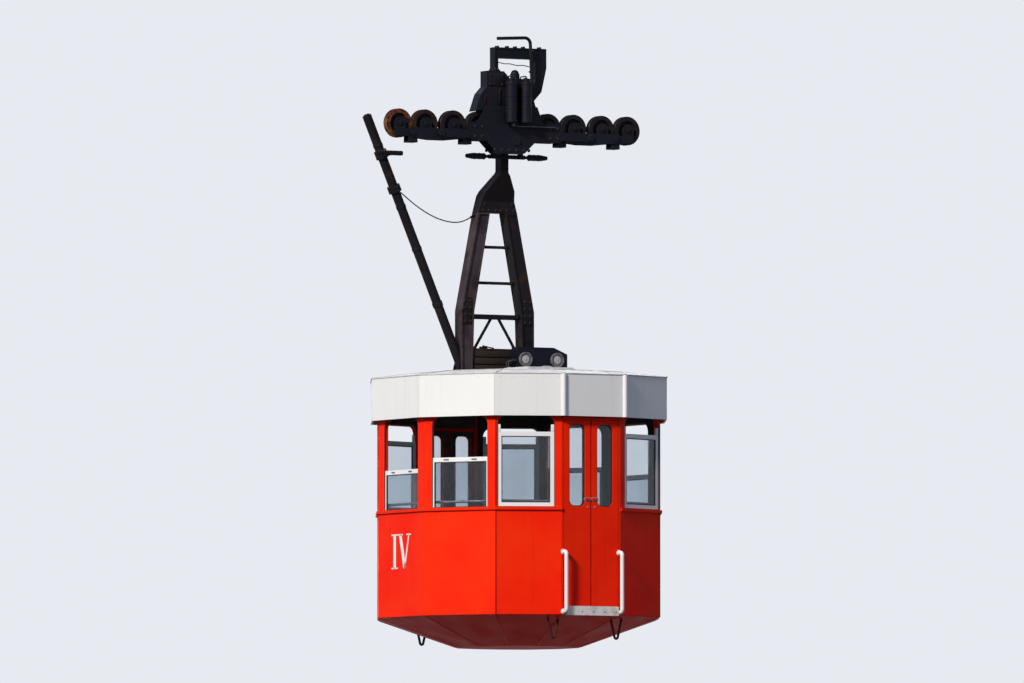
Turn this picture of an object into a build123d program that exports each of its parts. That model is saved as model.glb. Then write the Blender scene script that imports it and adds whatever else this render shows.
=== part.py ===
from build123d import *
import math
import os

os.makedirs("parts", exist_ok=True)

# Cable car cabin on its hanger and eight-wheeled carriage, in millimetres.
# The origin is on the axis of the track rope, midway along the carriage.
# X runs along the rope, Y across it and Z up.

# Ropes and the gaps between seated pieces
track_rope_r = 19.0
haul_rope_r = 10.0
haul_line_y = 110.0
haul_line_z = -150.0
running_gap = 0.08
seat_gap = 0.3

# Wheels
wheel_groove_r = 115.0
wheel_flange_r = 140.0
wheel_half_width = 32.0
groove_half_width = 21.0
groove_flats = 8
hub_half_width = 34.0
hub_r = 40.0
web_half_width = 9.0
rim_inner_r = 98.0
rim_slope = 8.0
hub_slope = 10.0
flange_lip = 2.0
axle_r = 18.0
axle_collar_r = 26.0
axle_collar_w = 8.0
axle_collar_gap = 1.0
axle_z = track_rope_r + wheel_groove_r
inner_wheel_x = (385.0, 672.0)
outer_wheel_x = (985.0, 1273.0)

# Carriage plates, counted outwards from the rope
bogie_plate_y = 40.0
bogie_plate_t = 12.0
rocker_plate_t = 12.0
cheek_t = 16.0
rocker_plate_y = bogie_plate_y + bogie_plate_t
cheek_y = rocker_plate_y + rocker_plate_t
cheek_face_y = cheek_y + cheek_t

# Bogies
bogie_lobe_r = 62.0
bogie_base_z = 10.0
bogie_base_h = 72.0
bogie_pin_r = 20.0
bogie_pin_z = 46.0
keeper_w = 95.0
keeper_t = 18.0
keeper_drop = 50.0

# Rocker beams
rocker_depth = 90.0
rocker_belly = 22.0
rocker_pin_r = 25.0
rocker_pin_z = 50.0

# Carriage cheeks
arm_half_length = 521.0
arm_bottom_z = -12.0
arm_top_z = 167.0
arm_corner_r = 58.0
tongue_depth = 84.0
tongue_corner_r = 41.5
cheek_top_z = 330.0
cheek_foot_z = -125.0
cheek_flare = 120.0
cheek_left_x = (-430.0, -330.0)
cheek_right_x = (300.0, 238.0)
ledge_x = 185.0
ledge_z = 125.0
ledge_l = 490.0
ledge_t = 14.0
ledge_w = 22.0
near_boss_r = 48.0
near_boss_t = 12.0

# Brake housing
housing_half_width = cheek_y
housing_arch_r = 150.0
housing_bottom_z = 36.0
housing_foot_x = 225.0
right_waist = (300.0, 200.0)
right_shoulder = (225.0, 340.0)
right_top = (140.0, 600.0)
left_top = (-60.0, 600.0)
tower_inner_top = (-120.0, 660.0)
tower_outer_top = (-317.0, 660.0)
tower_foot = (-317.0, 515.0)
left_shoulder = (-385.0, 442.0)
left_waist = (-455.0, 240.0)
left_hip = (-300.0, 180.0)
knob_x = 30.0
knob_r = 46.0
knob_h = 50.0
knob_crown_r = 40.0

# Brake jaws
jaw_x = (-205.0, 95.0)
jaw_top_z = -8.0
jaw_groove_r = 26.0

# Brake cylinders
cylinder_x = (-85.0, 78.0)
cylinder_r = 55.0
cylinder_bottom_z = 171.0
cylinder_top_z = 560.0
cylinder_cap_r = 38.0
cylinder_cap_h = 36.0
cylinder_gap = 2.0
cylinder_y = -(cheek_face_y + cylinder_r + cylinder_gap)
cylinder_lug_z = (350.0, 500.0)

# Lifting frame
lifting_half_width = 42.0
lifting_left_x = -222.0
lifting_post_w = 44.0
lifting_right_x = 356.0
lifting_plate_w = 118.0
lifting_top_z = 900.0
lifting_beam_h = 104.0
lifting_right_foot_z = 700.0
lifting_knee = (305.0, 482.0)
lifting_seat_z = (380.0, 470.0)

# Guard pipe
guard_pipe_r = 16.0
guard_pipe_wall = 4.0
guard_pipe_y = -(housing_half_width + 24.0)
guard_bend_r = 60.0
guard_points = [(-215.0, 982.0), (150.0, 1000.0), (172.0, 520.0)]
guard_clip_w = 34.0
guard_clip_h = 60.0

# Haul rope anchor
anchor_half_length = 200.0
anchor_half_width = 15.0
anchor_half_depth = 20.0
anchor_bracket_x = 150.0
anchor_bracket_w = 40.0
anchor_bracket_top_z = 40.0
socket_r = 30.0
socket_mouth_r = 19.0
socket_end_x = 450.0
socket_neck_l = 30.0
socket_shoulder_l = 15.0
socket_nose_l = 70.0
socket_bore_r = haul_rope_r + 0.5
socket_bore_depth = 150.0

# Hanger pin and head
pin_r = 45.0
pin_flange_r = 88.0
pin_flange_t = 20.0
pin_nut_r = 62.0
pin_nut_t = 22.0
pin_end_gap = 6.0
pin_boss_gap = 1.0
eye_r = 78.0
neck_near_y = 142.0
neck_depth = 110.0
neck_half_width = 42.0
neck_z = -300.0
shoulder_half_width = 157.0
shoulder_z = -477.0
swan_bend = 240.0
swan_far_z = -280.0
swan_near_z = -330.0

# Hanger legs
leg_y = 340.0
leg_depth = 130.0
leg_top_z = -685.0
leg_top_x = (88.0, 214.0)
leg_knee_z = -1640.0
leg_knee_x = (262.0, 405.0)
leg_foot_x = (280.0, 405.0)
leg_recess = 12.0
leg_flange = 17.0
rung_t = 28.0
rung_z = (-1015.0, -1363.0)
low_rung_z = -1692.0
low_rung_h = 46.0
low_rung_w = 60.0
brace_t = 20.0
brace_w = 26.0
brace_top_x = 34.0
brace_foot_x = 238.0

# Roof gear
base_plate_t = 25.0
base_plate_x = (-450.0, 645.0)
base_plate_y = (15.0, 430.0)
foot_beam_h = 240.0
foot_beam_depth = 100.0
foot_beam_flange = 16.0
foot_beam_web = 14.0
box_x = (80.0, 635.0)
box_y = (30.0, 150.0)
box_h = 250.0
box_wall = 8.0
box_chamfer = (150.0, 62.0)
cover_x = (161.0, 514.0)
cover_r = 70.0
cover_t = 26.0
cover_drop = 120.0
cover_rim = 12.0
cover_recess = 10.0

# Contact pole beside the hanger
pole_r = 45.0
pole_wall = 5.0
pole_tip = (-1424.0, 222.0)
pole_low = (-451.0, -2007.0)
collar_z = -480.0
collar_r = 64.0
collar_l = 70.0
cap_l = 26.0
pole_foot_drop = 60.0
shoe_l = 268.0
shoe_r = 25.0
shoe_slot_r = 13.5
shoe_arm_w = 36.0
clamp_r = 62.0
clamp_l = 80.0

# Signal cable between the pole's collar and the left leg
cable_d = 12.0
clip_r = 12.0
clip_reach = (30.0, 60.0)

# Cabin body, a twelve-sided box
cabin_y = -120.0
door_half_opening = 305.5
door_post_w = 21.5
end_corner = (1302.0, 442.0)
shoulder_corner = (912.0, 1149.0)
door_corner = (door_half_opening + door_post_w, 1394.0)
wall_t = 40.0
fascia_top_z = -2325.0
fascia_h = 403.0
fascia_t = 20.0
fascia_stand_off = 45.0
fascia_joint = 1.6
moulding_r = 24.0
roof_t = 30.0
roof_lip = 5.0
roof_lip_h = 8.0
roof_crown_h = 52.0
roof_flat = 0.74
body_h = 2303.0
floor_rise = 73.0
floor_t = 40.0
hopper_h = 279.0
hopper_flat = 0.43
hopper_wall = 22.0
sill_rise = 1028.0
window_drop = 397.0
window_top_corner_r = 88.0
bead_h = 28.0
bead_t = 20.0

# Windows by side: margin towards the door, the other margin, drop of the sash's top, stile, low rail
window_table = {
    "end": (115.0, 115.0, 493.0, 20.0, 0.0),
    "shoulder": (91.0, 91.0, 396.0, 20.0, 0.0),
    "quarter": (65.5, 13.5, 158.0, 42.0, 42.0),
}
sash_t = 22.0
sash_inset = 9.0
sash_rail = 42.0
pane_t = 6.0

# Doors
door_h = 1810.0
door_side_gap = 5.5
door_meeting_gap = 6.0
door_foot_gap = 7.0
door_head_gap = 6.0
door_window_w = 176.0
door_window_rise = 9.0
door_window_drop = 58.0
door_window_corner_r = 60.0
hinge_r = 11.0
hinge_pin_r = 5.0
hinge_l = 40.0
hinge_set_in = 12.0
hinge_tab = 30.0
hinge_rise = (165.0, 805.0, 1565.0)
handle_rise = 1035.0
handle_inset = 34.0
handle_l = 60.0
handle_w = 16.0
handle_t = 12.0
threshold_t = 34.0
threshold_lap = 7.0
threshold_inset = 17.5

# Grab bars and feet
grab_r = 19.0
grab_set_out = 3.5
grab_rise = (28.0, 599.0)
grab_stand_off = 62.0
grab_bend_r = 28.0
foot_bar_r = 12.0
foot_x = 350.0
foot_y = 1270.0
foot_half_spread = 60.0
foot_clearance = 42.0
foot_bend_r = 18.0

# Hatch in the roof
hatch_x = (-290.0, 290.0)
hatch_y = (-760.0, -240.0)
hatch_t = 34.0
hatch_corner_r = 60.0
hatch_lid_margin = 24.0
hatch_lid_t = 12.0

# Levels that follow from the sizes above
roof_top_z = fascia_top_z + roof_lip_h + roof_crown_h
base_top_z = roof_top_z + base_plate_t
wall_top_z = fascia_top_z - roof_t
foot_beam_top_z = base_top_z + foot_beam_h
body_bottom_z = fascia_top_z - body_h
floor_top_z = body_bottom_z + floor_rise
sill_z = body_bottom_z + sill_rise
window_top_z = fascia_top_z - window_drop
door_top_z = floor_top_z + door_h
door_window_z = (sill_z + door_window_rise, door_top_z - door_window_drop)
hinge_z = [floor_top_z + rise for rise in hinge_rise]
handle_z = floor_top_z + handle_rise
threshold_z = (body_bottom_z - threshold_lap, floor_top_z + threshold_lap)
threshold_half_w = door_half_opening - threshold_inset
grab_x = door_half_opening + grab_set_out
grab_z = [body_bottom_z + rise for rise in grab_rise]
foot_bottom_z = body_bottom_z - hopper_h + foot_clearance


# Plan outline

def outline(scale=1.0):
    """The twelve corners of the body's plan, anticlockwise from the +X end."""
    quarter = [end_corner, shoulder_corner, door_corner]
    corners = []
    for x_sign, y_sign, order in ((1, 1, 1), (-1, 1, -1), (-1, -1, 1), (1, -1, -1)):
        for x, y in quarter[::order]:
            corners.append((x_sign * x * scale, cabin_y + y_sign * y * scale))
    return corners


def moved_out(corners, distance):
    """The same outline with every side moved outwards by a distance."""
    moved = []
    count = len(corners)
    for i in range(count):
        before = Vector(*corners[i]) - Vector(*corners[i - 1])
        after = Vector(*corners[(i + 1) % count]) - Vector(*corners[i])
        normal_before = Vector(before.Y, -before.X).normalized()
        normal_after = Vector(after.Y, -after.X).normalized()
        middle = normal_before + normal_after
        reach = distance * 2.0 / middle.dot(middle)
        corner = Vector(*corners[i]) + middle * reach
        moved.append((corner.X, corner.Y))
    return moved


body = outline()
side_kinds = ["shoulder", "quarter", "door", "quarter", "shoulder", "end"] * 2


def sides(kind):
    """The indices of the body's sides of one kind."""
    return [i for i in range(12) if side_kinds[i] == kind]


def side_plan(index, outer, inner, joint=0.0):
    """Plan of one side's panel between two outlines, its ends held back by half a joint."""
    second = (index + 1) % 12
    along = (Vector(*outer[second]) - Vector(*outer[index])).normalized() * (joint / 2)
    corners = [Vector(*outer[index]) + along, Vector(*outer[second]) - along]
    corners += [Vector(*inner[second]) - along, Vector(*inner[index]) + along]
    return [(corner.X, corner.Y) for corner in corners]


def side_plane(index, height=0.0):
    """Plane on a side's outer face, X along the side and Y up."""
    start = Vector(*body[index])
    end = Vector(*body[(index + 1) % 12])
    along = (end - start).normalized()
    middle = (start + end) * 0.5
    return Plane(origin=(middle.X, middle.Y, height), x_dir=along, z_dir=(along.Y, -along.X, 0))


def door_side(index):
    """1 where the door lies at the far end of a quarter side, and -1 at its near end."""
    return 1 if side_kinds[(index + 1) % 12] == "door" else -1


def window_width(index):
    """Width of a side's window between its two margins."""
    door_margin, far_margin = window_table[side_kinds[index]][:2]
    side = Vector(*body[(index + 1) % 12]) - Vector(*body[index])
    return side.length - door_margin - far_margin


def window_shift(index):
    """How far a side's window stands from the side's middle."""
    door_margin, far_margin = window_table[side_kinds[index]][:2]
    return door_side(index) * (far_margin - door_margin) / 2


def between(points, z):
    """X on the straight line between two (x, z) points at height z."""
    (x1, z1), (x2, z2) = points
    return x1 + (x2 - x1) * (z - z1) / (z2 - z1)


wall_inner = moved_out(body, -wall_t)
fascia_inner = moved_out(body, fascia_stand_off)
fascia_outer = moved_out(body, fascia_stand_off + fascia_t)


# Walls, one panel a side, each with its window

def build_walls(kind):
    """All the wall panels of one kind, windows cut with round upper corners."""
    with BuildPart() as walls:
        for index in sides(kind):
            with BuildSketch(Plane.XY.offset(body_bottom_z)):
                with BuildLine():
                    Polyline(*side_plan(index, body, wall_inner), close=True)
                make_face()
            extrude(amount=wall_top_z - body_bottom_z)
            with BuildSketch(side_plane(index)) as opening:
                with Locations((window_shift(index), (sill_z + window_top_z) / 2)):
                    Rectangle(window_width(index), window_top_z - sill_z)
                fillet(opening.vertices().group_by(Axis.Y)[-1], radius=window_top_corner_r)
            extrude(amount=-2 * wall_t, mode=Mode.SUBTRACT)
    return walls


for kind in window_table:
    wall_panels = build_walls(kind)
    wall_panels.part.label = kind + "_walls"
    export_step(wall_panels.part, "parts/" + kind + "_walls.step")


# Door frames with the lower half of each hinge

def door_face(y_sign):
    """Y of a door's inner face; the sign picks the far or the near door."""
    return cabin_y + y_sign * (door_corner[1] - wall_t)


def hinge_axis(x_sign, y_sign):
    """Where a leaf's hinge axis stands in plan."""
    across = x_sign * (door_half_opening - door_side_gap / 2)
    return (across, door_face(y_sign) - y_sign * hinge_set_in)


def hinge_tab_middle(x_sign, y_sign, reach):
    """Middle of the tab that ties a knuckle to its post or leaf."""
    across, along = hinge_axis(x_sign, y_sign)
    return (across + x_sign * reach / 2, along + y_sign * hinge_set_in / 2)


door_signs = [(x_sign, y_sign) for y_sign in (-1, 1) for x_sign in (-1, 1)]
inner_door_corner = max(x for x, y in wall_inner if abs(y - cabin_y) > shoulder_corner[1])
post_tab = inner_door_corner - hinge_axis(1, 1)[0]

with BuildPart() as door_frames:
    for index in sides("door"):
        with BuildSketch(Plane.XY.offset(body_bottom_z)):
            with BuildLine():
                Polyline(*side_plan(index, body, wall_inner), close=True)
            make_face()
        extrude(amount=wall_top_z - body_bottom_z)
        with BuildSketch(side_plane(index)):
            with Locations((0, (floor_top_z + door_top_z) / 2)):
                Rectangle(2 * door_half_opening, door_top_z - floor_top_z)
        extrude(amount=-2 * wall_t, mode=Mode.SUBTRACT)
    for x_sign, y_sign in door_signs:
        for height in hinge_z:
            with BuildSketch(Plane.XY.offset(height)):
                with Locations(hinge_axis(x_sign, y_sign)):
                    Circle(hinge_r)
                with Locations(hinge_tab_middle(x_sign, y_sign, post_tab)):
                    Rectangle(post_tab, hinge_set_in)
            extrude(amount=-hinge_l)
            with BuildSketch(Plane.XY.offset(height)):
                with Locations(hinge_axis(x_sign, y_sign)):
                    Circle(hinge_pin_r)
            extrude(amount=hinge_l)
door_frames.part.label = "door_frames"
export_step(door_frames.part, "parts/door_frames.step")


# Door leaves with the upper half of each hinge, and their panes

leaf_w = door_half_opening - door_side_gap - door_meeting_gap
leaf_middle = door_meeting_gap + leaf_w / 2
leaf_bottom_z = floor_top_z + door_foot_gap
leaf_top_z = door_top_z - door_head_gap
door_window_h = door_window_z[1] - door_window_z[0]
leaf_names = {(-1, -1): "near_left", (1, -1): "near_right", (-1, 1): "far_left", (1, 1): "far_right"}


def leaf_plane(x_sign, y_sign, depth):
    """Plane parallel to a door, a depth inside its outer face, at the leaf's middle."""
    across = cabin_y + y_sign * (door_corner[1] - depth)
    return Plane(origin=(x_sign * leaf_middle, across, 0), x_dir=(1, 0, 0), z_dir=(0, -1, 0))


for x_sign, y_sign in door_signs:
    name = leaf_names[(x_sign, y_sign)]
    with BuildPart() as door_leaf:
        with BuildSketch(leaf_plane(x_sign, y_sign, wall_t)):
            with Locations((0, (leaf_bottom_z + leaf_top_z) / 2)):
                Rectangle(leaf_w, leaf_top_z - leaf_bottom_z)
            with Locations((0, sum(door_window_z) / 2)):
                RectangleRounded(door_window_w, door_window_h, door_window_corner_r, mode=Mode.SUBTRACT)
        extrude(amount=-y_sign * wall_t)
        with BuildSketch(leaf_plane(x_sign, y_sign, 0.0)):
            with Locations((-x_sign * (leaf_w / 2 - handle_inset), handle_z)):
                SlotOverall(handle_l, handle_w)
        extrude(amount=-y_sign * handle_t)
        for height in hinge_z:
            with BuildSketch(Plane.XY.offset(height + seat_gap)):
                with Locations(hinge_axis(x_sign, y_sign)):
                    Circle(hinge_r)
                with Locations(hinge_tab_middle(x_sign, y_sign, -hinge_tab)):
                    Rectangle(hinge_tab, hinge_set_in)
            extrude(amount=hinge_l - seat_gap)
            with BuildSketch(Plane.XY.offset(height)):
                with Locations(hinge_axis(x_sign, y_sign)):
                    Circle(hinge_pin_r + running_gap)
            extrude(amount=hinge_l, mode=Mode.SUBTRACT)
    door_leaf.part.label = name + "_door_leaf"
    export_step(door_leaf.part, "parts/" + name + "_door_leaf.step")
    with BuildPart() as door_pane:
        with BuildSketch(leaf_plane(x_sign, y_sign, (wall_t + pane_t) / 2)):
            with Locations((0, sum(door_window_z) / 2)):
                RectangleRounded(door_window_w, door_window_h, door_window_corner_r)
        extrude(amount=-y_sign * pane_t)
    door_pane.part.label = name + "_door_pane"
    export_step(door_pane.part, "parts/" + name + "_door_pane.step")


# Window sashes, lowered at the ends and shoulders, and their panes

def sash_hole(index):
    """Draws the clear part of a sash into the open sketch."""
    sash_drop, stile, low_rail = window_table[side_kinds[index]][2:]
    height = window_top_z - sash_drop - sash_rail - sill_z - low_rail
    with Locations((window_shift(index), sill_z + low_rail + height / 2)):
        Rectangle(window_width(index) - 2 * stile, height)


window_sides = [index for kind in window_table for index in sides(kind)]

with BuildPart() as window_sashes:
    for index in window_sides:
        sash_top_z = window_top_z - window_table[side_kinds[index]][2]
        with BuildSketch(side_plane(index).offset(-sash_inset)):
            with Locations((window_shift(index), (sill_z + sash_top_z) / 2)):
                Rectangle(window_width(index), sash_top_z - sill_z)
        extrude(amount=-sash_t)
        with BuildSketch(side_plane(index)):
            sash_hole(index)
        extrude(amount=-wall_t, mode=Mode.SUBTRACT)
window_sashes.part.label = "window_sashes"
export_step(window_sashes.part, "parts/window_sashes.step")

with BuildPart() as window_panes:
    for index in window_sides:
        with BuildSketch(side_plane(index).offset(-sash_inset - (sash_t - pane_t) / 2)):
            sash_hole(index)
        extrude(amount=-pane_t)
window_panes.part.label = "window_panes"
export_step(window_panes.part, "parts/window_panes.step")


# Bead round the waist, from door to door at each end

bead_outer = moved_out(body, bead_t)

with BuildPart() as waist_bead:
    for index in sides("end") + sides("shoulder") + sides("quarter"):
        with BuildSketch(Plane.XY.offset(sill_z - bead_h)):
            with BuildLine():
                Polyline(*side_plan(index, bead_outer, body), close=True)
            make_face()
        extrude(amount=bead_h)
waist_bead.part.label = "waist_bead"
export_step(waist_bead.part, "parts/waist_bead.step")


# Fascia panels, one a side with an open joint at each corner, and round mouldings at the door corners

with BuildPart() as fascia_panels:
    for index in range(12):
        with BuildSketch(Plane.XY.offset(fascia_top_z - fascia_h)):
            with BuildLine():
                Polyline(*side_plan(index, fascia_outer, fascia_inner, fascia_joint), close=True)
            make_face()
        extrude(amount=fascia_h)
fascia_panels.part.label = "fascia_panels"
export_step(fascia_panels.part, "parts/fascia_panels.step")

with BuildPart() as corner_strips:
    with BuildSketch(Plane.XY.offset(fascia_top_z - fascia_h)):
        with Locations([corner for corner in fascia_outer if abs(corner[0]) < shoulder_corner[0] / 2]):
            Circle(moulding_r)
        with BuildLine():
            Polyline(*fascia_outer, close=True)
        make_face(mode=Mode.SUBTRACT)
    extrude(amount=fascia_h)
corner_strips.part.label = "corner_strips"
export_step(corner_strips.part, "parts/corner_strips.step")


# Roof, with a lip over the fascia and a low crown, and its hatch

with BuildPart() as roof:
    with BuildSketch(Plane.XY.offset(wall_top_z)):
        with BuildLine():
            Polyline(*fascia_inner, close=True)
        make_face()
    extrude(amount=roof_t)
    with BuildSketch(Plane.XY.offset(fascia_top_z)):
        with BuildLine():
            Polyline(*moved_out(fascia_outer, roof_lip), close=True)
        make_face()
    extrude(amount=roof_lip_h)
    with BuildSketch(Plane.XY.offset(fascia_top_z + roof_lip_h)):
        with BuildLine():
            Polyline(*moved_out(fascia_outer, roof_lip), close=True)
        make_face()
    with BuildSketch(Plane.XY.offset(roof_top_z)):
        with BuildLine():
            Polyline(*outline(roof_flat), close=True)
        make_face()
    loft(ruled=True)
roof.part.label = "roof"
export_step(roof.part, "parts/roof.step")

hatch_length = hatch_x[1] - hatch_x[0]
hatch_width = hatch_y[1] - hatch_y[0]
hatch_lid_r = hatch_corner_r - hatch_lid_margin

with BuildPart() as roof_hatch:
    with BuildSketch(Plane.XY.offset(roof_top_z)):
        with Locations((sum(hatch_x) / 2, sum(hatch_y) / 2)):
            RectangleRounded(hatch_length, hatch_width, hatch_corner_r)
    extrude(amount=hatch_t)
    with BuildSketch(Plane.XY.offset(roof_top_z + hatch_t)):
        with Locations((sum(hatch_x) / 2, sum(hatch_y) / 2)):
            RectangleRounded(hatch_length - 2 * hatch_lid_margin, hatch_width - 2 * hatch_lid_margin, hatch_lid_r)
    extrude(amount=hatch_lid_t)
roof_hatch.part.label = "roof_hatch"
export_step(roof_hatch.part, "parts/roof_hatch.step")


# Floor and the tapering underside

with BuildPart() as floor_plate:
    with BuildSketch(Plane.XY.offset(floor_top_z - floor_t)):
        with BuildLine():
            Polyline(*wall_inner, close=True)
        make_face()
    extrude(amount=floor_t)
floor_plate.part.label = "floor"
export_step(floor_plate.part, "parts/floor.step")

hopper_rim = body
hopper_foot = outline(hopper_flat)


def taper(low_corners, low_z, high_corners, high_z, mode=Mode.ADD):
    """Flat-sided taper between two outlines, added to or cut from the open part."""
    sections = []
    for corners, z in ((low_corners, low_z), (high_corners, high_z)):
        with BuildSketch(Plane.XY.offset(z)) as section:
            with BuildLine():
                Polyline(*corners, close=True)
            make_face()
        sections.append(section.sketch)
    loft(sections, ruled=True, mode=mode)


with BuildPart() as underside:
    taper(hopper_foot, body_bottom_z - hopper_h, hopper_rim, body_bottom_z)
    hollow_foot = moved_out(hopper_foot, -hopper_wall / 2)
    hollow_rim = moved_out(hopper_rim, -wall_t)
    taper(hollow_foot, body_bottom_z - hopper_h + hopper_wall, hollow_rim, body_bottom_z, Mode.SUBTRACT)
underside.part.label = "underside"
export_step(underside.part, "parts/underside.step")


# Threshold plates, grab bars and the V-shaped feet

with BuildPart() as thresholds:
    for y_sign in (-1, 1):
        with BuildSketch(Plane.XY.offset(threshold_z[0])):
            with Locations((0, cabin_y + y_sign * (door_corner[1] + threshold_t / 2))):
                Rectangle(2 * threshold_half_w, threshold_t)
        extrude(amount=threshold_z[1] - threshold_z[0])
thresholds.part.label = "thresholds"
export_step(thresholds.part, "parts/thresholds.step")

with BuildPart() as grab_bars:
    for x_sign, y_sign in door_signs:
        wall_y = cabin_y + y_sign * door_corner[1]
        bar_y = wall_y + y_sign * grab_stand_off
        bar_x = x_sign * grab_x
        bar_points = [(bar_x, wall_y, grab_z[0]), (bar_x, bar_y, grab_z[0])]
        bar_points += [(bar_x, bar_y, grab_z[1]), (bar_x, wall_y, grab_z[1])]
        with BuildLine() as bar_line:
            FilletPolyline(*bar_points, radius=grab_bend_r)
        with BuildSketch(Plane(origin=bar_points[0], z_dir=(0, y_sign, 0))):
            Circle(grab_r)
        sweep(path=bar_line.line)
grab_bars.part.label = "grab_bars"
export_step(grab_bars.part, "parts/grab_bars.step")

foot_slope = hopper_h / (door_corner[1] * (1 - hopper_flat))
foot_spread_z = body_bottom_z - (door_corner[1] - foot_y) * foot_slope + foot_bar_r
foot_half_angle = math.atan2(foot_half_spread, foot_spread_z - foot_bottom_z + 1.5 * foot_bend_r)
foot_bend_rise = foot_bend_r * (1 / math.sin(foot_half_angle) - 1)

with BuildPart() as v_feet:
    for x_sign, y_sign in door_signs:
        foot_point = (x_sign * foot_x, cabin_y + y_sign * foot_y)
        left = (foot_point[0] - foot_half_spread, foot_point[1], foot_spread_z)
        right = (foot_point[0] + foot_half_spread, foot_point[1], foot_spread_z)
        low = (foot_point[0], foot_point[1], foot_bottom_z + foot_bar_r - foot_bend_rise)
        with BuildLine() as foot_line:
            FilletPolyline(left, low, right, radius=foot_bend_r)
        start = Vector(*low) - Vector(*left)
        with BuildSketch(Plane(origin=left, z_dir=start)):
            Circle(foot_bar_r)
        sweep(path=foot_line.line)
    taper(hopper_foot, body_bottom_z - hopper_h - seat_gap, hopper_rim, body_bottom_z - seat_gap, Mode.SUBTRACT)
v_feet.part.label = "v_feet"
export_step(v_feet.part, "parts/v_feet.step")


# Hanger head: a neck that swings out from the rope to the plane of the legs

leg_near_y = leg_y - leg_depth / 2
leg_far_y = leg_y + leg_depth / 2
neck_far_y = neck_near_y + neck_depth

with BuildPart() as hanger_head:
    with BuildSketch(Plane.XZ):
        with BuildLine():
            Polyline(
                (-leg_top_x[1], leg_top_z),
                (leg_top_x[1], leg_top_z),
                (shoulder_half_width, shoulder_z),
                (neck_half_width, neck_z),
                (neck_half_width, 0.0),
                (-neck_half_width, 0.0),
                (-neck_half_width, neck_z),
                (-shoulder_half_width, shoulder_z),
                close=True,
            )
        make_face()
        Circle(eye_r)
    extrude(amount=-2 * leg_far_y)
    with BuildSketch(Plane.YZ):
        with BuildLine():
            Polyline(
                (neck_near_y, eye_r),
                (neck_far_y, eye_r),
                (neck_far_y, swan_far_z),
                (leg_far_y, swan_far_z - swan_bend),
                (leg_far_y, leg_top_z),
                (leg_near_y, leg_top_z),
                (leg_near_y, swan_near_z - swan_bend),
                (neck_near_y, swan_near_z),
                close=True,
            )
        make_face()
    extrude(amount=2 * leg_top_x[1], both=True, mode=Mode.INTERSECT)
    with BuildSketch(Plane.XZ):
        Circle(pin_r + running_gap)
    extrude(amount=-2 * leg_far_y, mode=Mode.SUBTRACT)
hanger_head.part.label = "hanger_head"
export_step(hanger_head.part, "parts/hanger_head.step")


# Hanger legs, each face sunk between its flanges

leg_inner_line = ((leg_top_x[0], leg_top_z), (leg_knee_x[0], leg_knee_z))
leg_foot_line = ((leg_knee_x[0], leg_knee_z), (leg_foot_x[0], base_top_z))


def leg_outline(x_sign, margin):
    """Corners of a leg, drawn in by a margin on every side."""
    corners = [
        (leg_top_x[0], leg_top_z),
        (leg_top_x[1], leg_top_z),
        (leg_knee_x[1], leg_knee_z),
        (leg_foot_x[1], base_top_z),
        (leg_foot_x[0], base_top_z),
        (leg_knee_x[0], leg_knee_z),
    ]
    inner = moved_out(corners[::-1], -margin)
    return [(x_sign * x, z) for x, z in inner]


with BuildPart() as hanger_legs:
    for x_sign in (-1, 1):
        with BuildSketch(Plane.XZ.offset(-leg_near_y)):
            with BuildLine():
                Polyline(*leg_outline(x_sign, 0.0), close=True)
            make_face()
        extrude(amount=-leg_depth)
        for face_y, depth in ((leg_near_y, -leg_recess), (leg_far_y, leg_recess)):
            with BuildSketch(Plane.XZ.offset(-face_y)):
                with BuildLine():
                    Polyline(*leg_outline(x_sign, leg_flange), close=True)
                make_face()
            extrude(amount=depth, mode=Mode.SUBTRACT)
hanger_legs.part.label = "hanger_legs"
export_step(hanger_legs.part, "parts/hanger_legs.step")


# Rungs between the legs, and two braces from the lowest down to the foot beam

def leg_inner_x(z):
    """Half the gap between the legs at a height."""
    return between(leg_inner_line if z > leg_knee_z else leg_foot_line, z)


# height of the middle, height of the bar, width across the hanger
rung_table = [(rung_z[0], rung_t, rung_t), (rung_z[1], rung_t, rung_t), (low_rung_z, low_rung_h, low_rung_w)]

with BuildPart() as hanger_rungs:
    for middle_z, height, width in rung_table:
        top = middle_z + height / 2
        bottom = middle_z - height / 2
        with BuildSketch(Plane.XZ.offset(-(leg_y - width / 2))):
            with BuildLine():
                Polyline(
                    (-leg_inner_x(top), top),
                    (leg_inner_x(top), top),
                    (leg_inner_x(bottom), bottom),
                    (-leg_inner_x(bottom), bottom),
                    close=True,
                )
            make_face()
        extrude(amount=-width)
hanger_rungs.part.label = "hanger_rungs"
export_step(hanger_rungs.part, "parts/hanger_rungs.step")

brace_head_z = low_rung_z - low_rung_h / 2

with BuildPart() as foot_braces:
    for x_sign in (-1, 1):
        with BuildSketch(Plane.XZ.offset(-(leg_y - brace_t / 2))):
            with BuildLine():
                Polyline(
                    (x_sign * brace_top_x, brace_head_z),
                    (x_sign * (brace_top_x + brace_w), brace_head_z),
                    (x_sign * brace_foot_x, foot_beam_top_z),
                    (x_sign * (brace_foot_x - brace_w), foot_beam_top_z),
                    close=True,
                )
            make_face()
        extrude(amount=-brace_t)
foot_braces.part.label = "foot_braces"
export_step(foot_braces.part, "parts/foot_braces.step")


# Foot beam: an I-section between the feet

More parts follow.
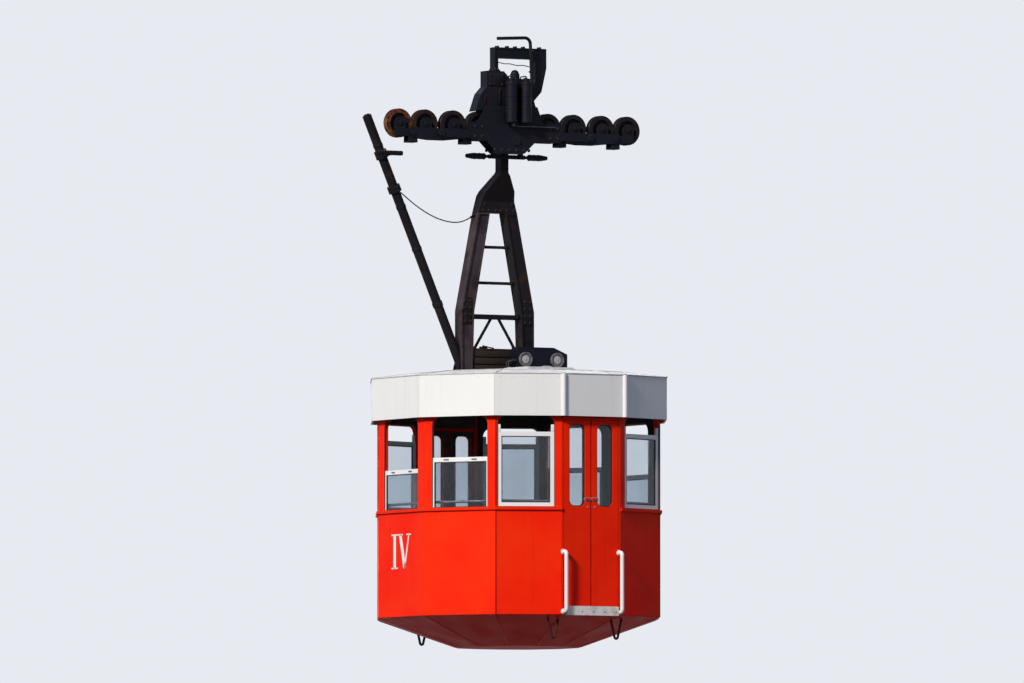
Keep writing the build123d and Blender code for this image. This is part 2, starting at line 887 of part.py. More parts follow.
with BuildPart() as foot_beam:
    with BuildSketch(Plane.XZ.offset(-(leg_y - foot_beam_depth / 2))):
        with BuildLine():
            Polyline(
                (-leg_inner_x(foot_beam_top_z), foot_beam_top_z),
                (leg_inner_x(foot_beam_top_z), foot_beam_top_z),
                (leg_foot_x[0], base_top_z),
                (-leg_foot_x[0], base_top_z),
                close=True,
            )
        make_face()
    extrude(amount=-foot_beam_depth)
    beam_hole_h = foot_beam_h - 2 * foot_beam_flange
    beam_hole_depth = (foot_beam_depth - foot_beam_web) / 2
    for face_y, depth in ((leg_y - foot_beam_depth / 2, -1), (leg_y + foot_beam_depth / 2, 1)):
        with BuildSketch(Plane.XZ.offset(-face_y)):
            with Locations((0, (foot_beam_top_z + base_top_z) / 2)):
                Rectangle(4 * leg_foot_x[0], beam_hole_h)
        extrude(amount=depth * beam_hole_depth, mode=Mode.SUBTRACT)
foot_beam.part.label = "foot_beam"
export_step(foot_beam.part, "parts/foot_beam.step")


# Base plate on the roof

with BuildPart() as base_plate:
    with BuildSketch(Plane.XY.offset(roof_top_z)):
        with Locations((sum(base_plate_x) / 2, sum(base_plate_y) / 2)):
            Rectangle(base_plate_x[1] - base_plate_x[0], base_plate_y[1] - base_plate_y[0])
    extrude(amount=base_plate_t)
base_plate.part.label = "base_plate"
export_step(base_plate.part, "parts/base_plate.step")


# Equipment box with its two round covers

with BuildPart() as equipment_box:
    with BuildSketch(Plane.XZ.offset(-box_y[0])):
        with BuildLine():
            Polyline(
                (box_x[0], base_top_z),
                (box_x[1], base_top_z),
                (box_x[1], base_top_z + box_h - box_chamfer[1]),
                (box_x[1] - box_chamfer[0], base_top_z + box_h),
                (box_x[0], base_top_z + box_h),
                close=True,
            )
        make_face()
    extrude(amount=-(box_y[1] - box_y[0]))
    with BuildSketch(Plane.XY.offset(base_top_z)):
        with Locations(((box_x[0] + box_x[1]) / 2, sum(box_y) / 2)):
            Rectangle(box_x[1] - box_x[0] - 2 * box_wall, box_y[1] - box_y[0] - 2 * box_wall)
    extrude(amount=box_h - box_chamfer[1] - box_wall, mode=Mode.SUBTRACT)
equipment_box.part.label = "equipment_box"
export_step(equipment_box.part, "parts/equipment_box.step")

with BuildPart() as box_covers:
    cover_z = base_top_z + box_h - cover_drop
    for x in cover_x:
        with BuildSketch(Plane.XZ.offset(-box_y[0])):
            with Locations((x, cover_z)):
                Circle(cover_r)
        extrude(amount=cover_t)
        with BuildSketch(Plane.XZ.offset(-box_y[0] + cover_t)):
            with Locations((x, cover_z)):
                Circle(cover_r - cover_rim)
        extrude(amount=-cover_recess, mode=Mode.SUBTRACT)
box_covers.part.label = "box_covers"
export_step(box_covers.part, "parts/box_covers.step")


# Contact pole: a tube seated on the left leg, with a cap and a collar

pole_slope = (pole_tip[0] - pole_low[0]) / (pole_tip[1] - pole_low[1])
pole_up = Vector(pole_slope, 0, 1).normalized()


def pole_plane(z):
    """Plane square to the pole where its axis is at height z."""
    x = pole_low[0] + pole_slope * (z - pole_low[1])
    return Plane(origin=(x, leg_y, z), x_dir=(0, 1, 0), z_dir=pole_up)


pole_foot_z = base_top_z - pole_foot_drop
pole_length = (pole_tip[1] - pole_foot_z) / pole_up.Z

with BuildPart() as contact_pole:
    with BuildSketch(pole_plane(pole_foot_z)):
        Circle(pole_r)
        Circle(pole_r - pole_wall, mode=Mode.SUBTRACT)
    extrude(amount=pole_length)
    with BuildSketch(pole_plane(pole_tip[1])):
        Circle(pole_r)
    extrude(amount=-cap_l)
    with BuildSketch(pole_plane(collar_z)):
        Circle(collar_r)
        Circle(pole_r - pole_wall / 2, mode=Mode.SUBTRACT)
    extrude(amount=collar_l / 2, both=True)
    split(bisect_by=Plane(origin=(-leg_foot_x[1], 0, 0), z_dir=(-1, 0, 0)), keep=Keep.TOP)
contact_pole.part.label = "contact_pole"
export_step(contact_pole.part, "parts/contact_pole.step")


# Contact shoe: a clamp on the pole, an arm to the haul rope and a saddle open below

shoe_x = pole_low[0] + pole_slope * (haul_line_z - pole_low[1])
shoe_centre_x = shoe_x - shoe_arm_w

with BuildPart() as contact_shoe:
    with BuildSketch(pole_plane(haul_line_z)):
        Circle(clamp_r)
    extrude(amount=clamp_l / 2, both=True)
    with BuildSketch(Plane.XZ.offset(-haul_line_y)):
        with Locations((shoe_x, haul_line_z)):
            Rectangle(shoe_arm_w, shoe_arm_w)
    extrude(amount=-(leg_y - haul_line_y))
    with BuildSketch(Plane.YZ.offset(shoe_centre_x - shoe_l / 2)):
        with Locations((haul_line_y, haul_line_z)):
            Circle(shoe_r)
    extrude(amount=shoe_l)
    with BuildSketch(Plane.YZ.offset(shoe_centre_x - shoe_l / 2)):
        with Locations((haul_line_y, haul_line_z)):
            Circle(shoe_slot_r)
        with Locations((haul_line_y, haul_line_z - shoe_r / 2)):
            Rectangle(2 * shoe_slot_r, shoe_r)
    extrude(amount=shoe_l, mode=Mode.SUBTRACT)
    with BuildSketch(pole_plane(haul_line_z)):
        Circle(pole_r + seat_gap)
    extrude(amount=clamp_l, both=True, mode=Mode.SUBTRACT)
contact_shoe.part.label = "contact_shoe"
export_step(contact_shoe.part, "parts/contact_shoe.step")


# Signal cable, hanging from the pole's collar to a clip on the left leg

cable_points = [
    (-1046.0, 340.0, -512.0),
    (-968.0, 338.0, -572.0),
    (-886.0, 335.0, -630.0),
    (-800.0, 332.0, -683.0),
    (-708.0, 330.0, -729.0),
    (-610.0, 329.0, -764.0),
    (-510.0, 330.0, -784.0),
    (-418.0, 333.0, -786.0),
    (-338.0, 337.0, -768.0),
    (-268.0, 340.0, -732.0),
]


def cord_radii(points):
    """For each inner point, 0.45 of the shorter run over the tangent of half the turn."""
    radii = []
    for before, here, after in zip(points, points[1:], points[2:]):
        run_in = Vector(*here) - Vector(*before)
        run_out = Vector(*after) - Vector(*here)
        half_turn = math.radians(run_in.get_angle(run_out)) / 2
        radii.append(0.45 * min(run_in.length, run_out.length) / math.tan(half_turn))
    return radii


cable_radii = cord_radii(cable_points)
print("signal cable radii", [round(radius) for radius in cable_radii])

with BuildPart() as signal_cable:
    with BuildLine() as cable_line:
        FilletPolyline(*cable_points, radius=cable_radii)
    cable_start = Vector(*cable_points[1]) - Vector(*cable_points[0])
    with BuildSketch(Plane(origin=cable_points[0], z_dir=cable_start)):
        Circle(cable_d / 2)
    sweep(path=cable_line.line)
signal_cable.part.label = "signal_cable"
export_step(signal_cable.part, "parts/signal_cable.step")
cable_length = sum(edge.length for edge in cable_line.edges())
cable_ratio = signal_cable.part.volume / (cable_length * math.pi * cable_d ** 2 / 4)
print("signal cable length", round(cable_length, 1), "volume ratio", round(cable_ratio, 4))


# Clips that hold the cable's two ends

with BuildPart() as cable_clips:
    cable_ends = ((cable_points[0], cable_points[1]), (cable_points[-1], cable_points[-2]))
    for (end, towards), reach in zip(cable_ends, clip_reach):
        back = (Vector(*end) - Vector(*towards)).normalized()
        with BuildSketch(Plane(origin=end, z_dir=back)):
            Circle(clip_r)
        extrude(amount=reach)
    with BuildSketch(pole_plane(collar_z)):
        Circle(collar_r + seat_gap)
    extrude(amount=collar_l, both=True, mode=Mode.SUBTRACT)
    with BuildSketch(Plane.XZ.offset(-leg_near_y)):
        with BuildLine():
            Polyline(*leg_outline(-1, 0.0), close=True)
        make_face()
    extrude(amount=-leg_depth, mode=Mode.SUBTRACT)
cable_clips.part.label = "cable_clips"
export_step(cable_clips.part, "parts/cable_clips.step")


# Wheels: grooved in narrow flats, each fast on its own axle

axle_collar_y = rocker_plate_y + axle_collar_gap
axle_end_y = rocker_plate_y + axle_collar_w
groove_angles = [math.pi / 2 - step * math.pi / groove_flats for step in range(groove_flats + 1)]
groove_points = []
for angle in groove_angles:
    rise = groove_half_width * (1 - math.cos(angle))
    groove_points.append((groove_half_width * math.sin(angle), axle_z + wheel_groove_r + rise))
wheel_x = sorted(sign * x for sign in (-1, 1) for x in inner_wheel_x + outer_wheel_x)

for number, x in enumerate(wheel_x, start=1):
    with BuildPart() as wheel:
        with BuildSketch(Plane.YZ.offset(x)):
            with BuildLine():
                Polyline(
                    (-groove_half_width - flange_lip, axle_z + wheel_flange_r),
                    (-wheel_half_width, axle_z + wheel_flange_r),
                    (-wheel_half_width, axle_z + rim_inner_r),
                    (-web_half_width, axle_z + rim_inner_r - rim_slope),
                    (-web_half_width, axle_z + hub_r + hub_slope),
                    (-hub_half_width, axle_z + hub_r),
                    (-hub_half_width, axle_z + axle_r),
                    (-axle_collar_y, axle_z + axle_r),
                    (-axle_collar_y, axle_z + axle_collar_r),
                    (-axle_end_y, axle_z + axle_collar_r),
                    (-axle_end_y, axle_z),
                    (axle_end_y, axle_z),
                    (axle_end_y, axle_z + axle_collar_r),
                    (axle_collar_y, axle_z + axle_collar_r),
                    (axle_collar_y, axle_z + axle_r),
                    (hub_half_width, axle_z + axle_r),
                    (hub_half_width, axle_z + hub_r),
                    (web_half_width, axle_z + hub_r + hub_slope),
                    (web_half_width, axle_z + rim_inner_r - rim_slope),
                    (wheel_half_width, axle_z + rim_inner_r),
                    (wheel_half_width, axle_z + wheel_flange_r),
                    (groove_half_width + flange_lip, axle_z + wheel_flange_r),
                    *groove_points,
                    close=True,
                )
            make_face()
        revolve(axis=Axis((x, 0, axle_z), (0, 1, 0)))
    wheel.part.label = "wheel_" + str(number)
    export_step(wheel.part, "parts/wheel_" + str(number) + ".step")


# Bogies: two lobed plates each, a pin between the wheels and a keeper under the rope

def bogie_wheels(number):
    """X of the two wheels of a bogie, counted from the left end."""
    return wheel_x[2 * number], wheel_x[2 * number + 1]


def bogie_centre(number):
    """X of a bogie's pin."""
    return sum(bogie_wheels(number)) / 2


with BuildPart() as bogies:
    for number in range(4):
        centre = bogie_centre(number)
        for side_y in (-bogie_plate_y, bogie_plate_y + bogie_plate_t):
            with BuildSketch(Plane.XZ.offset(-side_y)):
                for x in bogie_wheels(number):
                    with Locations((x, axle_z)):
                        Circle(bogie_lobe_r)
                    with Locations((x, (axle_z + bogie_base_z) / 2)):
                        Rectangle(2 * bogie_lobe_r, axle_z - bogie_base_z)
                with Locations((centre, bogie_base_z + bogie_base_h / 2)):
                    Rectangle(bogie_wheels(number)[1] - bogie_wheels(number)[0], bogie_base_h)
                with Locations((centre, (bogie_base_z - keeper_drop) / 2)):
                    Rectangle(keeper_w, bogie_base_z + keeper_drop)
                with Locations([(x, axle_z) for x in bogie_wheels(number)]):
                    Circle(axle_r + running_gap, mode=Mode.SUBTRACT)
                with Locations((centre, bogie_pin_z)):
                    Circle(bogie_pin_r, mode=Mode.SUBTRACT)
            extrude(amount=bogie_plate_t)
bogies.part.label = "bogies"
export_step(bogies.part, "parts/bogies.step")

with BuildPart() as bogie_pins:
    with BuildSketch(Plane.XZ):
        with Locations([(bogie_centre(number), bogie_pin_z) for number in range(4)]):
            Circle(bogie_pin_r)
    extrude(amount=cheek_y, both=True)
bogie_pins.part.label = "bogie_pins"
export_step(bogie_pins.part, "parts/bogie_pins.step")

with BuildPart() as rope_keepers:
    with BuildSketch(Plane.XZ):
        with Locations([(bogie_centre(number), keeper_t / 2 - keeper_drop) for number in range(4)]):
            Rectangle(keeper_w, keeper_t)
    extrude(amount=bogie_plate_y, both=True)
rope_keepers.part.label = "rope_keepers"
export_step(rope_keepers.part, "parts/rope_keepers.step")


# Rocker beams: two fish-bellied plates on a pin, each carrying two bogies

with BuildPart() as rocker_beams:
    for first in (0, 2):
        left = bogie_centre(first)
        right = bogie_centre(first + 1)
        middle = (left + right) / 2
        radius = rocker_depth / 2
        for side_y in (-rocker_plate_y, cheek_y):
            with BuildSketch(Plane.XZ.offset(-side_y)):
                with Locations((left, rocker_pin_z), (right, rocker_pin_z)):
                    Circle(radius)
                with BuildLine():
                    Polyline(
                        (left, rocker_pin_z + radius),
                        (right, rocker_pin_z + radius),
                        (right, rocker_pin_z - radius),
                        (middle + rocker_depth, rocker_pin_z - radius - rocker_belly),
                        (middle - rocker_depth, rocker_pin_z - radius - rocker_belly),
                        (left, rocker_pin_z - radius),
                        close=True,
                    )
                make_face()
                with Locations((left, bogie_pin_z), (right, bogie_pin_z)):
                    Circle(bogie_pin_r + seat_gap, mode=Mode.SUBTRACT)
            extrude(amount=rocker_plate_t)
        with BuildSketch(Plane.XZ):
            with Locations((middle, rocker_pin_z)):
                Circle(rocker_pin_r)
        extrude(amount=cheek_face_y, both=True)
rocker_beams.part.label = "rocker_beams"
export_step(rocker_beams.part, "parts/rocker_beams.step")


# Carriage cheeks: two plates with rounded arms and a tongue to each rocker pin

rocker_pin_x = (bogie_centre(2) + bogie_centre(3)) / 2
tongue_end_x = rocker_pin_x + tongue_depth / 2

with BuildPart() as carriage_frame:
    for side_y in (-cheek_y, cheek_face_y):
        with BuildSketch(Plane.XZ.offset(-side_y)) as cheek:
            with Locations((0, (arm_bottom_z + arm_top_z) / 2)):
                RectangleRounded(2 * arm_half_length, arm_top_z - arm_bottom_z, arm_corner_r)
            with Locations((0, rocker_pin_z)):
                RectangleRounded(2 * tongue_end_x, tongue_depth, tongue_corner_r)
            with BuildLine():
                Polyline(
                    (jaw_x[0], cheek_foot_z),
                    (jaw_x[1], cheek_foot_z),
                    (jaw_x[1] + cheek_flare, arm_bottom_z),
                    (cheek_right_x[0], arm_top_z),
                    (cheek_right_x[1], cheek_top_z),
                    (cheek_left_x[1], cheek_top_z),
                    (cheek_left_x[0], arm_top_z),
                    (jaw_x[0] - cheek_flare, arm_bottom_z),
                    close=True,
                )
            make_face()
            with Locations((-rocker_pin_x, rocker_pin_z), (rocker_pin_x, rocker_pin_z)):
                Circle(rocker_pin_r + seat_gap, mode=Mode.SUBTRACT)
        extrude(amount=cheek_t)
    with BuildSketch(Plane.XZ.offset(cheek_face_y)):
        Circle(near_boss_r)
    extrude(amount=near_boss_t)
    with BuildSketch(Plane.XY.offset(ledge_z)):
        with Locations((ledge_x, -cheek_face_y - ledge_w / 2)):
            Rectangle(ledge_l, ledge_w)
    extrude(amount=ledge_t)
carriage_frame.part.label = "carriage_frame"
export_step(carriage_frame.part, "parts/carriage_frame.step")


# Brake housing between and above the cheeks, arched over the inner wheels

with BuildPart() as brake_housing:
    with BuildSketch(Plane.XZ):
        with BuildLine():
            Polyline(
                (-housing_foot_x, housing_bottom_z),
                (housing_foot_x, housing_bottom_z),
                right_waist,
                right_shoulder,
                right_top,
                left_top,
                tower_inner_top,
                tower_outer_top,
                tower_foot,
                left_shoulder,
                left_waist,
                left_hip,
                close=True,
            )
        make_face()
        with Locations((-inner_wheel_x[0], axle_z), (inner_wheel_x[0], axle_z)):
            Circle(housing_arch_r, mode=Mode.SUBTRACT)
    extrude(amount=housing_half_width, both=True)
    with BuildSketch(Plane.XY.offset(right_top[1])):
        with Locations((knob_x, 0.0)):
            Circle(knob_r)
    extrude(amount=knob_h)
    with Locations((knob_x, 0.0, right_top[1] + knob_h)):
        Sphere(knob_crown_r)
brake_housing.part.label = "brake_housing"
export_step(brake_housing.part, "parts/brake_housing.step")


# Brake jaws under the rope

with BuildPart() as brake_jaws:
    with BuildSketch(Plane.YZ.offset(jaw_x[0])):
        with Locations((0, (cheek_foot_z + jaw_top_z) / 2)):
            Rectangle(2 * cheek_y, jaw_top_z - cheek_foot_z)
        Circle(jaw_groove_r, mode=Mode.SUBTRACT)
    extrude(amount=jaw_x[1] - jaw_x[0])
brake_jaws.part.label = "brake_jaws"
export_step(brake_jaws.part, "parts/brake_jaws.step")


# Brake cylinders on the near side of the housing

with BuildPart() as brake_cylinders:
    for x in cylinder_x:
        with BuildSketch(Plane.XY.offset(cylinder_bottom_z)):
            with Locations((x, cylinder_y)):
                Circle(cylinder_r)
        extrude(amount=cylinder_top_z - cylinder_bottom_z)
        with BuildSketch(Plane.XY.offset(cylinder_top_z)):
            with Locations((x, cylinder_y)):
                Circle(cylinder_cap_r)
        extrude(amount=cylinder_cap_h)
        with BuildSketch(Plane.XY.offset(cylinder_lug_z[0])):
            with Locations((x, (cylinder_y - housing_half_width) / 2)):
                Rectangle(cylinder_r, -housing_half_width - cylinder_y)
        extrude(amount=cylinder_lug_z[1] - cylinder_lug_z[0])
brake_cylinders.part.label = "brake_cylinders"
export_step(brake_cylinders.part, "parts/brake_cylinders.step")


# Lifting frame on top of the housing

def flank_x(z):
    """X of the housing's right flank at a height."""
    return between((right_shoulder, right_top), z)


with BuildPart() as lifting_frame:
    with BuildSketch(Plane.XZ):
        with BuildLine():
            Polyline(
                (lifting_left_x, tower_outer_top[1]),
                (lifting_left_x, lifting_top_z),
                (lifting_right_x, lifting_top_z),
                (lifting_right_x, lifting_right_foot_z),
                lifting_knee,
                (flank_x(lifting_seat_z[0]), lifting_seat_z[0]),
                (flank_x(lifting_seat_z[1]), lifting_seat_z[1]),
                (lifting_right_x - lifting_plate_w, right_top[1]),
                (lifting_right_x - lifting_plate_w, lifting_top_z - lifting_beam_h),
                (lifting_left_x + lifting_post_w, lifting_top_z - lifting_beam_h),
                (lifting_left_x + lifting_post_w, tower_outer_top[1]),
                close=True,
            )
        make_face()
    extrude(amount=lifting_half_width, both=True)
lifting_frame.part.label = "lifting_frame"
export_step(lifting_frame.part, "parts/lifting_frame.step")


# Guard pipe bent over the lifting frame

guard_clip_reach = guard_pipe_r - housing_half_width - guard_pipe_y

with BuildPart() as guard_pipe:
    with BuildLine() as guard_line:
        FilletPolyline(*[(x, guard_pipe_y, z) for x, z in guard_points], radius=guard_bend_r)
    guard_start = Vector(guard_points[1][0] - guard_points[0][0], 0, guard_points[1][1] - guard_points[0][1])
    guard_plane = Plane(origin=(guard_points[0][0], guard_pipe_y, guard_points[0][1]), z_dir=guard_start)
    with BuildSketch(guard_plane):
        Circle(guard_pipe_r)
    sweep(path=guard_line.line)
    with BuildSketch(Plane.XY.offset(guard_points[2][1] - guard_clip_h / 2)):
        with Locations((guard_points[2][0] - guard_clip_w / 2, -housing_half_width - guard_clip_reach / 2)):
            Rectangle(guard_clip_w, guard_clip_reach)
    extrude(amount=guard_clip_h)
guard_pipe.part.label = "guard_pipe"
export_step(guard_pipe.part, "parts/guard_pipe.step")


# Hanger pin, cantilevered from the far cheek

pin_end_y = neck_far_y + pin_nut_t + pin_end_gap
pin_boss_y = neck_near_y - pin_boss_gap

with BuildPart() as hanger_pin:
    with BuildSketch(Plane.XZ.offset(-cheek_face_y)):
        Circle(pin_r)
    extrude(amount=-(pin_end_y - cheek_face_y))
    with BuildSketch(Plane.XZ.offset(-cheek_face_y)):
        Circle(pin_flange_r)
    extrude(amount=-pin_flange_t)
    with BuildSketch(Plane.XZ.offset(-pin_end_y)):
        RegularPolygon(pin_nut_r, 6)
    extrude(amount=pin_nut_t)
    with BuildSketch(Plane.XZ.offset(-pin_boss_y)):
        Circle(pin_nut_r)
    extrude(amount=pin_boss_y - cheek_face_y)
hanger_pin.part.label = "hanger_pin"
export_step(hanger_pin.part, "parts/hanger_pin.step")


# Haul rope anchor bar and its two sockets

with BuildPart() as haul_anchor:
    with BuildSketch(Plane.YZ):
        with Locations((haul_line_y, haul_line_z)):
            Rectangle(2 * anchor_half_width, 2 * anchor_half_depth)
    extrude(amount=anchor_half_length, both=True)
    bracket_bottom = haul_line_z - anchor_half_depth
    bracket_far_y = haul_line_y + anchor_half_width
    for x_sign in (-1, 1):
        with BuildSketch(Plane.XY.offset(bracket_bottom)):
            with Locations((x_sign * anchor_bracket_x, (cheek_face_y + bracket_far_y) / 2)):
                Rectangle(anchor_bracket_w, bracket_far_y - cheek_face_y)
        extrude(amount=anchor_bracket_top_z - bracket_bottom)
haul_anchor.part.label = "haul_anchor"
export_step(haul_anchor.part, "parts/haul_anchor.step")

# distance from the middle of the anchor, radius of the socket there
socket_profile = [
    (anchor_half_length, anchor_half_width),
    (anchor_half_length + socket_neck_l, anchor_half_width),
    (anchor_half_length + socket_neck_l + socket_shoulder_l, socket_r),
    (socket_end_x - socket_nose_l, socket_r),
    (socket_end_x, socket_mouth_r),
]

with BuildPart() as haul_sockets:
    for x_sign in (-1, 1):
        with BuildSketch(Plane.XZ.offset(-haul_line_y)):
            with BuildLine():
                profile = [(x_sign * reach, haul_line_z + radius) for reach, radius in socket_profile]
                Polyline(
                    (x_sign * anchor_half_length, haul_line_z),
                    *profile,
                    (x_sign * socket_end_x, haul_line_z + socket_bore_r),
                    (x_sign * (socket_end_x - socket_bore_depth), haul_line_z + socket_bore_r),
                    (x_sign * (socket_end_x - socket_bore_depth), haul_line_z),
                    close=True,
                )
            make_face()
        revolve(axis=Axis((0, haul_line_y, haul_line_z), (1, 0, 0)))
haul_sockets.part.label = "haul_sockets"
export_step(haul_sockets.part, "parts/haul_sockets.step")
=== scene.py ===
"""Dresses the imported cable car: finishes for its solids, fittings, rigging and the studio round it."""

import logging
import math
from contextlib import contextmanager
from dataclasses import dataclass
from enum import Enum
from typing import Iterable, Iterator, Optional, Sequence, Union

import bpy
from bpy.types import Material, Node, NodeSocket, NodeTree, Object
from mathutils import Matrix, Vector


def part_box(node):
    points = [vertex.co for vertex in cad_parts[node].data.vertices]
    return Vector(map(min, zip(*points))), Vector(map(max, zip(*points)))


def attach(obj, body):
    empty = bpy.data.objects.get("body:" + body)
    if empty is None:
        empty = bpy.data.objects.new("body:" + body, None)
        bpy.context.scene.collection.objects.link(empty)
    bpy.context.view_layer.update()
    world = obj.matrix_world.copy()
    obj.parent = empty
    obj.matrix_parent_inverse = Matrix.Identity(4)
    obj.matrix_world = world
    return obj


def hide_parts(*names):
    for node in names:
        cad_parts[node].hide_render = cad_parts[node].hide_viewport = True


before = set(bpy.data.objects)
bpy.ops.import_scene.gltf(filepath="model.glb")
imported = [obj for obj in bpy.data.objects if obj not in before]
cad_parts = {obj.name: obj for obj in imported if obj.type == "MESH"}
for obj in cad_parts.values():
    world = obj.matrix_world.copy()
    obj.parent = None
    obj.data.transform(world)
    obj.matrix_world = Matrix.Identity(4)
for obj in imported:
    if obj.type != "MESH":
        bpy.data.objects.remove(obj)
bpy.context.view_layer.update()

logging.basicConfig(level=logging.INFO, format="%(message)s")
LOG = logging.getLogger("cable_car")

# the body that carries a piece, and the name of the record's slot for its finish
ON_HANGER = ("cabin", "hanger_paint")
ON_CARRIAGE = ("carriage", "carriage_paint")
ON_RED = ("cabin", "red_paint")
ON_WHITE = ("cabin", "white_paint")
ON_SHEATH = ("cabin", "cable_sheath")

Colour = tuple[float, float, float]
Feed = Union[NodeSocket, float, Colour]
Flat = tuple[float, float]
Four = tuple[float, float, float, float]
Point = Sequence[float]
Row = tuple[float, ...]
Span = tuple[float, float]
Three = tuple[float, float, float]

UP = Vector((0.0, 0.0, 1.0))
SHARP = math.radians(35.0)


# Shader benches and finishes


class NodeBench:
    """Adds and joins the nodes of one tree."""

    def __init__(self, tree: NodeTree) -> None:
        """Starts with an empty tree."""
        self.tree = tree
        self.tree.nodes.clear()

    def add(self, kind: str, **settings: object) -> Node:
        """Adds one node.

        Args:
            kind: The node's type, without ShaderNode.
            settings: Values for its properties.

        Returns:
            The node.
        """
        node = self.tree.nodes.new("ShaderNode" + kind)
        for key, value in settings.items():
            setattr(node, key, value)
        return node

    def join(self, source: NodeSocket, target: NodeSocket) -> None:
        """Links two sockets."""
        self.tree.links.new(source, target)

    def feed(self, target: NodeSocket, value: Feed) -> None:
        """Links a socket to an input, or sets a number or colour on it.

        Args:
            target: The input.
            value: The socket, number or colour.
        """
        if isinstance(value, NodeSocket):
            self.join(value, target)
        elif isinstance(value, tuple):
            target.default_value = (*value, 1.0)
        else:
            target.default_value = value

    def maths(self, operation: str, *values: Feed) -> NodeSocket:
        """One step of arithmetic.

        Args:
            operation: What is done with the values.
            values: The values; MULTIPLY_ADD adds the third.

        Returns:
            The result.
        """
        node = self.add("Math", operation=operation)
        for socket, value in zip(node.inputs, values):
            self.feed(socket, value)
        return node.outputs[0]

    def layer(self, share: Feed, under: NodeSocket, over: NodeSocket) -> NodeSocket:
        """Mixes two shaders.

        Args:
            share: Share of the upper shader.
            under: The lower shader.
            over: The upper shader.

        Returns:
            The mixed shader.
        """
        node = self.add("MixShader")
        for socket, value in zip(node.inputs, (share, under, over)):
            self.feed(socket, value)
        return node.outputs[0]


class ShaderBench(NodeBench):
    """Lays out the nodes of one material."""

    def __init__(self, name: str) -> None:
        """Starts a material with its shader, its output and its place on the object.

        Args:
            name: The material's name.
        """
        self.material = bpy.data.materials.new(name)
        self.material.use_nodes = True
        super().__init__(self.material.node_tree)
        self.output = self.add("OutputMaterial")
        self.shader = self.add("BsdfPrincipled")
        self.join(self.shader.outputs[0], self.output.inputs["Surface"])
        self.place = self.add("TexCoord").outputs["Object"]

    def shifted(self, stretch: Three = (1.0, 1.0, 1.0), centre: Three = (0.0, 0.0, 0.0)) -> NodeSocket:
        """Object coordinates moved to a centre and stretched.

        Args:
            stretch: Scale of each axis.
            centre: The point that becomes the origin.

        Returns:
            The vector.
        """
        mapping = self.add("Mapping")
        mapping.inputs["Scale"].default_value = stretch
        mapping.inputs["Location"].default_value = [-c * s for c, s in zip(centre, stretch)]
        self.join(self.place, mapping.inputs["Vector"])
        return mapping.outputs[0]

    def axis(self, letter: str, vector: Optional[NodeSocket] = None) -> NodeSocket:
        """One axis of a vector.

        Args:
            letter: X, Y or Z.
            vector: The vector; the place on the object if none.

        Returns:
            The value along that axis.
        """
        node = self.add("SeparateXYZ")
        self.join(vector or self.place, node.inputs[0])
        return node.outputs[letter]

    def noise(self, scale: float, detail: float = 4.0, vector: Optional[NodeSocket] = None) -> NodeSocket:
        """Noise between 0 and 1.

        Args:
            scale: Patches in a metre, about.
            detail: How many finer layers it has.
            vector: What it follows; the place on the object if none.

        Returns:
            The noise.
        """
        node = self.add("TexNoise")
        node.inputs["Scale"].default_value = scale
        node.inputs["Detail"].default_value = detail
        self.join(vector or self.place, node.inputs["Vector"])
        return node.outputs["Fac"]

    def band(self, value: NodeSocket, low: float, high: float, top: float = 1.0) -> NodeSocket:
        """Smooth step between two thresholds.

        Args:
            value: What is stepped.
            low: Where the step is 0.
            high: Where it has reached its top.
            top: The most that it gives.

        Returns:
            The stepped value.
        """
        node = self.add("MapRange", interpolation_type="SMOOTHSTEP")
        self.join(value, node.inputs["Value"])
        for socket, limit in (("From Min", low), ("From Max", high), ("To Max", top)):
            node.inputs[socket].default_value = limit
        return node.outputs[0]

    def mottle(self, scale: float, detail: float, low: float, high: float, top: float = 1.0) -> NodeSocket:
        """Patches of noise, stepped between two thresholds."""
        return self.band(self.noise(scale, detail), low, high, top)

    def blend(self, share: Feed, first: Feed, second: Feed) -> NodeSocket:
        """Colour between two.

        Args:
            share: Share of the second colour.
            first: The first colour.
            second: The second colour.

        Returns:
            The colour.
        """
        node = self.add("Mix", data_type="RGBA")
        for socket, value in zip((node.inputs[0], node.inputs[6], node.inputs[7]), (share, first, second)):
            self.feed(socket, value)
        return node.outputs[2]

    def rounding(self, radius: float) -> tuple[NodeSocket, NodeSocket]:
        """Rounded normal and a mask of the edges.

        Args:
            radius: How far it reaches, in metres.

        Returns:
            The normal and the mask.
        """
        rounded = self.add("Bevel", samples=4)
        rounded.inputs["Radius"].default_value = radius
        dot = self.add("VectorMath", operation="DOT_PRODUCT")
        self.join(rounded.outputs[0], dot.inputs[0])
        self.join(self.add("NewGeometry").outputs["Normal"], dot.inputs[1])
        return rounded.outputs[0], self.band(dot.outputs["Value"], low=0.998, high=0.93)

    def corners(self, distance: float) -> NodeSocket:
        """Mask of the inner corners from ambient occlusion: painted shade where little light reaches, which
        the finishes lay on together with their dirt.

        Args:
            distance: How far it reaches, in metres.

        Returns:
            The mask.
        """
        # ambient occlusion turns where shade falls into a colour mask
        node = self.add("AmbientOcclusion", samples=4)
        node.inputs["Distance"].default_value = distance
        return self.band(node.outputs["AO"], low=0.85, high=0.35)

    def relief(self, height: NodeSocket, depth: float, strength: float,
               normal: Optional[NodeSocket] = None) -> None:
        """Bump on the shader's normal.

        Args:
            height: The value that the bump follows.
            depth: Its depth in metres.
            strength: From 0 to 1.
            normal: The normal under it.
        """
        node = self.add("Bump")
        node.inputs["Strength"].default_value = strength
        node.inputs["Distance"].default_value = depth
        self.join(height, node.inputs["Height"])
        if normal:
            self.join(normal, node.inputs["Normal"])
        self.join(node.outputs[0], self.shader.inputs["Normal"])

    def set(self, **values: Feed) -> None:
        """Sets the shader's sockets by name, with _ for a space."""
        for key, value in values.items():
            self.feed(self.shader.inputs[key.replace("_", " ").title().replace("Ior", "IOR")], value)


